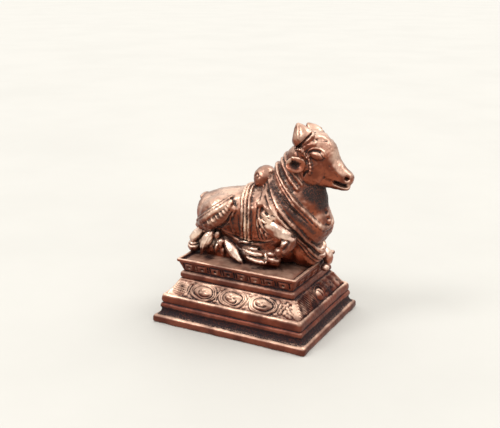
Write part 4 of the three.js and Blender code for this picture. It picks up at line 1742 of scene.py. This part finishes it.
@dataclass(frozen=True)
class AntiquedCopper:
    """Cast copper, dark in its hollows, red-brown over its body and worn pale on its edges, with painted shade
    where it is closed in and a painted highlight on its upper faces.

    metal is how metallic the body and the worn and highlit places are, and rough is how rough they are.
    Upright faces keep only the sides share of the edge wear and painted light, the painted top light has its
    own strength, which level lowers, and dirt scales the dark patina and the painted shade together.
    """

    name: str
    body: Point3 = (0.3, 0.078, 0.036)
    deep: Point3 = (0.15, 0.034, 0.015)
    # Pale colour of the edge wear and of the painted highlights
    pale_wear_and_highlight: Point3 = (0.92, 0.66, 0.5)
    # Dark colour of the patina in hollows and of the painted shade
    patina_and_shade: Point3 = (0.016, 0.008, 0.007)
    rub: float = 1.0
    sides: float = 0.5
    # Strength of the painted top light
    toplight: float = 0.7
    dirt: float = 1.0
    level: float = 0.0
    metal: Point2 = (0.96, 0.96)
    rough: Point2 = (0.38, 0.32)
    bump: float = 0.35
    bump_height: float = 0.00016
    specular: float = 0.5
    lacquer: float = 0.22
    lacquer_rough: float = 0.2

    def build(self, wear: bpy.types.NodeTree) -> bpy.types.Material:
        """Makes the material.

        Args:
            wear: The group that tells how worn and patinated a place is, and how much painted highlight and
                painted shade it gets.

        Returns:
            The material.
        """
        material = bpy.data.materials.new(self.name)
        material.use_nodes = True
        nodes = Nodes(material.node_tree)
        group = nodes.add("Group")
        group.node_tree = wear
        for mark in ("Fine", "Broad", "PaintedShade", "Upturned_Lit"):
            read = nodes.add("Attribute", attribute_name=mark.lower(), attribute_type="GEOMETRY")
            nodes.join(read.outputs["Fac"], group.inputs[mark])
        for name in ("Rub", "Sides", "Toplight", "Dirt", "Level"):
            group.inputs[name].default_value = getattr(self, name.lower())
        worn_and_lit, dirty_and_shaded, mottle, height = (group.outputs[name] for name in WearLightShadeGroup.outputs)
        ground = nodes.blend(nodes.span(mottle, 0.36, 0.62), (*self.deep, 1), (*self.body, 1))
        # The pale colour stands for edge wear and painted highlights, the dark one for patina and painted
        # shade
        worn = nodes.blend(nodes.sum("MINIMUM", worn_and_lit, 1.0), ground, (*self.pale_wear_and_highlight, 1))
        colour = nodes.blend(nodes.sum("MINIMUM", dirty_and_shaded, 1.0), worn, (*self.patina_and_shade, 1))
        rough = nodes.sum("ADD", nodes.span(worn_and_lit, 0.0, 0.9, *self.rough), nodes.times(dirty_and_shaded, 0.25))
        metal = nodes.times(
            nodes.span(worn_and_lit, 0.1, 0.7, *self.metal), nodes.span(dirty_and_shaded, 0.15, 0.9, 1.0, 0.35)
        )
        relief = nodes.add("Bump", {"Height": height, "Strength": self.bump, "Distance": self.bump_height})
        coat = nodes.span(dirty_and_shaded, 0.1, 0.7, self.lacquer, 0.0)
        shader = nodes.add(
            "BsdfPrincipled",
            {
                "Base Color": colour, "Roughness": rough, "Metallic": metal, "Normal": relief.outputs[0],
                "Coat Weight": coat, "Coat Roughness": self.lacquer_rough, "Specular IOR Level": self.specular,
            },
        )
        out = nodes.add("OutputMaterial")
        nodes.join(shader.outputs[0], out.inputs[0])
        return material


@dataclass(frozen=True)
class Studio:
    """The pale floor, the soft lights and the camera."""

    camera_at: Point3 = (126.49, -241.38, 121.97)
    camera_right: Point3 = (0.8814, 0.4723, 0.0)
    camera_back: Point3 = (0.4516, -0.8427, 0.2931)
    lens: float = 57.6
    floor_colour: Point3 = (0.53, 0.518, 0.482)
    floor_shade: float = 0.96
    floor_clouds: Point3 = (9.0, 5.0, 0.6)
    floor_half: float = 40.0
    sky_colour: Point3 = (1.0, 0.985, 0.96)
    sky: tuple[float, float, float, float] = (0.0, 0.7, 0.55, 1.5)
    lamps: tuple[tuple[str, Point3, float, float], ...] = (
        ("key", (-0.45, -0.58, 0.68), 20.0, 1.1),
        ("top", (0.44, 0.40, 0.80), 26.0, 0.8),
        ("side", (0.75, -0.50, 0.42), 24.0, 0.2),
    )

    def build(self) -> None:
        """Sets up the floor, the sky, the lamps and the camera."""
        self._floor()
        self._sky()
        for name, towards, width, strength in self.lamps:
            self._lamp(name, Vector(towards), width, strength)
        self._camera()

    def _floor(self) -> None:
        """Adds a pale floor under the plinth."""
        sheet = bmesh.new()
        bmesh.ops.create_grid(sheet, x_segments=2, y_segments=2, size=self.floor_half)
        material = bpy.data.materials.new("pale_floor")
        material.use_nodes = True
        nodes = Nodes(material.node_tree)
        cloudy = nodes.speckle(nodes.add("TexCoord").outputs["Object"], self.floor_clouds)
        shade = tuple(self.floor_shade * part for part in self.floor_colour)
        colour = nodes.blend(nodes.span(cloudy, 0.35, 0.7), (*self.floor_colour, 1), (*shade, 1))
        shader = nodes.add("BsdfPrincipled", {"Base Color": colour, "Roughness": 0.7})
        nodes.join(shader.outputs[0], nodes.add("OutputMaterial").inputs[0])
        floor = placed("floor", poured(sheet, "floor"))
        floor.data.materials.append(material)

    def _sky(self) -> None:
        """Lights the scene from all round, and more from above.

        The sky runs from [lower height, upper height] with [strength below, strength above].
        """
        world = bpy.data.worlds.new("soft_sky")
        world.use_nodes = True
        nodes = Nodes(world.node_tree)
        height = nodes.add("SeparateXYZ", {0: nodes.add("TexCoord").outputs["Generated"]}).outputs[2]
        strength = nodes.span(height, *self.sky)
        light = nodes.add("Background", {"Color": (*self.sky_colour, 1), "Strength": strength})
        nodes.join(light.outputs[0], nodes.add("OutputWorld").inputs[0])
        bpy.context.scene.world = world
        bpy.context.scene.view_settings.view_transform = "Standard"

    @staticmethod
    def _lamp(name: str, towards: Vector, width: float, strength: float) -> None:
        """Adds a wide soft lamp far away.

        Args:
            name: The lamp's name.
            towards: The direction in which it stands.
            width: How wide it looks, in degrees.
            strength: Its strength on a surface that faces it.
        """
        data = bpy.data.lights.new(name, "SUN")
        data.angle = math.radians(width)
        data.energy = strength
        lamp = placed(name, data)
        lamp.rotation_mode = "QUATERNION"
        lamp.rotation_quaternion = (-towards).to_track_quat("-Z", "Y")

    def _camera(self) -> None:
        """Adds the camera at the photograph's place."""
        right, back = Vector(self.camera_right).normalized(), Vector(self.camera_back).normalized()
        up = back.cross(right)
        data = bpy.data.cameras.new("camera")
        data.lens = self.lens
        data.sensor_width = 36.0
        data.sensor_fit = "HORIZONTAL"
        data.clip_start = 0.01
        camera = placed("camera", data)
        turned = Matrix((right, up, back)).transposed().to_4x4()
        camera.matrix_world = Matrix.Translation(Vector(self.camera_at) * MM) @ turned
        bpy.context.scene.camera = camera


# Painted shade: spots and bands added to the shade mark where the figure is meant to look dark, such as under
# the jaw, down the neck, in the cove and on the front; negative ones lift painted shade off the plinth's top
# and frieze
PAINTED_SHADE_SPOTS = (
    Course(4.7, 2.0, 0.9), Course(20.4, 2.2, -0.35),
    Pit((25.0, 3.8, 49.0), 7.5, 0.65), Pit((21.5, 6.4, 51.0), 6.0, 0.55), Pit((26.0, 2.6, 44.5), 5.0, 0.4),
    Pit((24.5, 2.0, 53.0), 5.0, 0.45), Pit((18.6, 9.2, 60.2), 4.2, 0.7), Pit((27.2, 6.6, 12.2), 3.0, 0.4),
    Pit((26.6, 6.0, 12.8), 10.0, 0.25), Pit((26.0, 16.0, 13.0), 6.0, 0.3), Pit((25.6, 5.8, 24.6), 3.4, 0.45),
    Pit((-20.5, 18.6, 13.0), 7.0, 0.3), Pit((-4.6, 11.0, 36.0), 4.0, 0.4),
    Pit((16.0, 14.0, 22.7), 15.0, -0.9), Pit((-14.0, 15.0, 22.7), 12.0, -0.5),
    Pit((25.5, 4.8, 53.2), 3.6, -0.35), Pit((17.4, 13.4, 33.4), 1.8, 0.25),
    Stroke(((8.5, 52.0), (12.5, 49.0), (17.0, 45.3), (21.8, 41.4), (25.2, 37.4)), 2.0, 0.7, taper=False),
)
# Painted light: spots and bands that make the colour paler where the figure is meant to look lit, on the arm,
# legs, horn, forehead, flank and frieze; negative ones dim it, as in the ear, on the knee, on the front slope
# and on the plinth's mouldings
PAINTED_LIGHT_SPOTS = (
    Pit((10.8, 12.2, 41.5), 5.0, 1.1), Pit((16.5, 13.4, 36.5), 5.5, 0.9), Pit((-20.4, 9.2, 29.6), 5.5, 1.2),
    Pit((-15.6, 11.0, 28.6), 5.5, 1.2), Pit((-4.0, 11.6, 26.6), 5.5, 1.1), Pit((4.5, 11.4, 27.0), 6.0, 0.6),
    Pit((18.9, 7.0, 69.6), 4.5, 0.5), Pit((28.6, 0.8, 61.6), 4.4, 0.8), Pit((31.8, 0.8, 59.4), 4.0, 1.0),
    Pit((-9.0, 11.6, 42.0), 6.0, 0.6), Pit((-12.0, 12.4, 36.6), 4.6, 0.8), Pit((18.4, 9.4, 59.4), 3.6, -0.8),
    Pit((17.4, 13.4, 33.4), 1.8, -0.7), Pit((26.0, 8.0, 12.8), 15.0, -0.35),
    Course(20.4, 2.4, 0.5), Course(4.7, 1.9, -0.6), Course(12.9, 3.0, 0.3), Course(22.6, 0.6, -0.5),
    Course(8.5, 1.5, -0.5), Course(1.5, 1.3, -0.5), Course(6.2, 0.8, -0.4), Course(17.0, 1.2, -0.4),
    Stroke(((-1.0, 48.0), (1.2, 42.0), (1.4, 36.0), (0.8, 32.0)), 2.4, 0.9, taper=False),
)
# Painted light on the plinth's top: lowers the broad mark there, which takes off the hollow darkening and adds
# pale
PAINTED_PANEL_LIGHT = (Course(22.65, 0.5, -0.6),)
# Each set of spots is worked into its mark: painted shade, painted light on upper faces, and the broad mark
TOUCHES: dict[str, tuple[Tool, ...]] = {"paintedshade": PAINTED_SHADE_SPOTS, "upturned_lit": PAINTED_LIGHT_SPOTS, "broad": PAINTED_PANEL_LIGHT}

BULL_COPPER = AntiquedCopper("antiqued_copper_bull")
# A lighter copy for the legs: paler highlight colour and more edge wear and painted top light, painted to
# stand for the light they catch
LEGS_COPPER_HIGHLIT = AntiquedCopper(
    "antiqued_copper_legs_highlit", pale_wear_and_highlight=(0.94, 0.7, 0.56), rub=1.5, sides=0.6, toplight=1.1
)
# A darker, less metallic copy for the plinth, with its painted top light lowered by level and almost no edge
# wear or painted light on upright faces
PLINTH_COPPER = AntiquedCopper(
    "antiqued_copper_plinth", body=(0.15, 0.031, 0.014), deep=(0.075, 0.015, 0.008), patina_and_shade=(0.014, 0.008, 0.01),
    pale_wear_and_highlight=(0.92, 0.62, 0.46), rub=0.5, sides=0.06, toplight=0.85, level=0.2, metal=(0.25, 0.6), specular=0.15,
    lacquer=0.0,
)


def main() -> None:
    """Builds the pieces in order, dresses them and sets up the studio."""
    logging.basicConfig(level=logging.INFO, format="%(name)s: %(message)s")
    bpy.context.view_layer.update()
    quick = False
    parts = (BullBody(), BullHead(), BullLegs(), Plinth())
    castings = [part.cast(quick) for part in parts]
    for casting in castings:
        casting.mark_wear_and_light()
        log.info("%s: %d vertices before thinning", casting.name, len(casting.places))
    paintedshade = PaintedShade(rays=10, samples=6000) if quick else PaintedShade()
    paintedshade.measure(castings)
    for casting in castings:
        for mark, tools in TOUCHES.items():
            casting.touch(mark, *tools)
    wear = WearLightShadeGroup().build()
    bull, legs, plinth = (finish.build(wear) for finish in (BULL_COPPER, LEGS_COPPER_HIGHLIT, PLINTH_COPPER))
    for part, casting, copper in zip(parts, castings, (bull, bull, legs, plinth)):
        casting.thin(part.limit)
        casting.finish(copper)
    Studio().build()


if __name__ == "__main__":
    main()
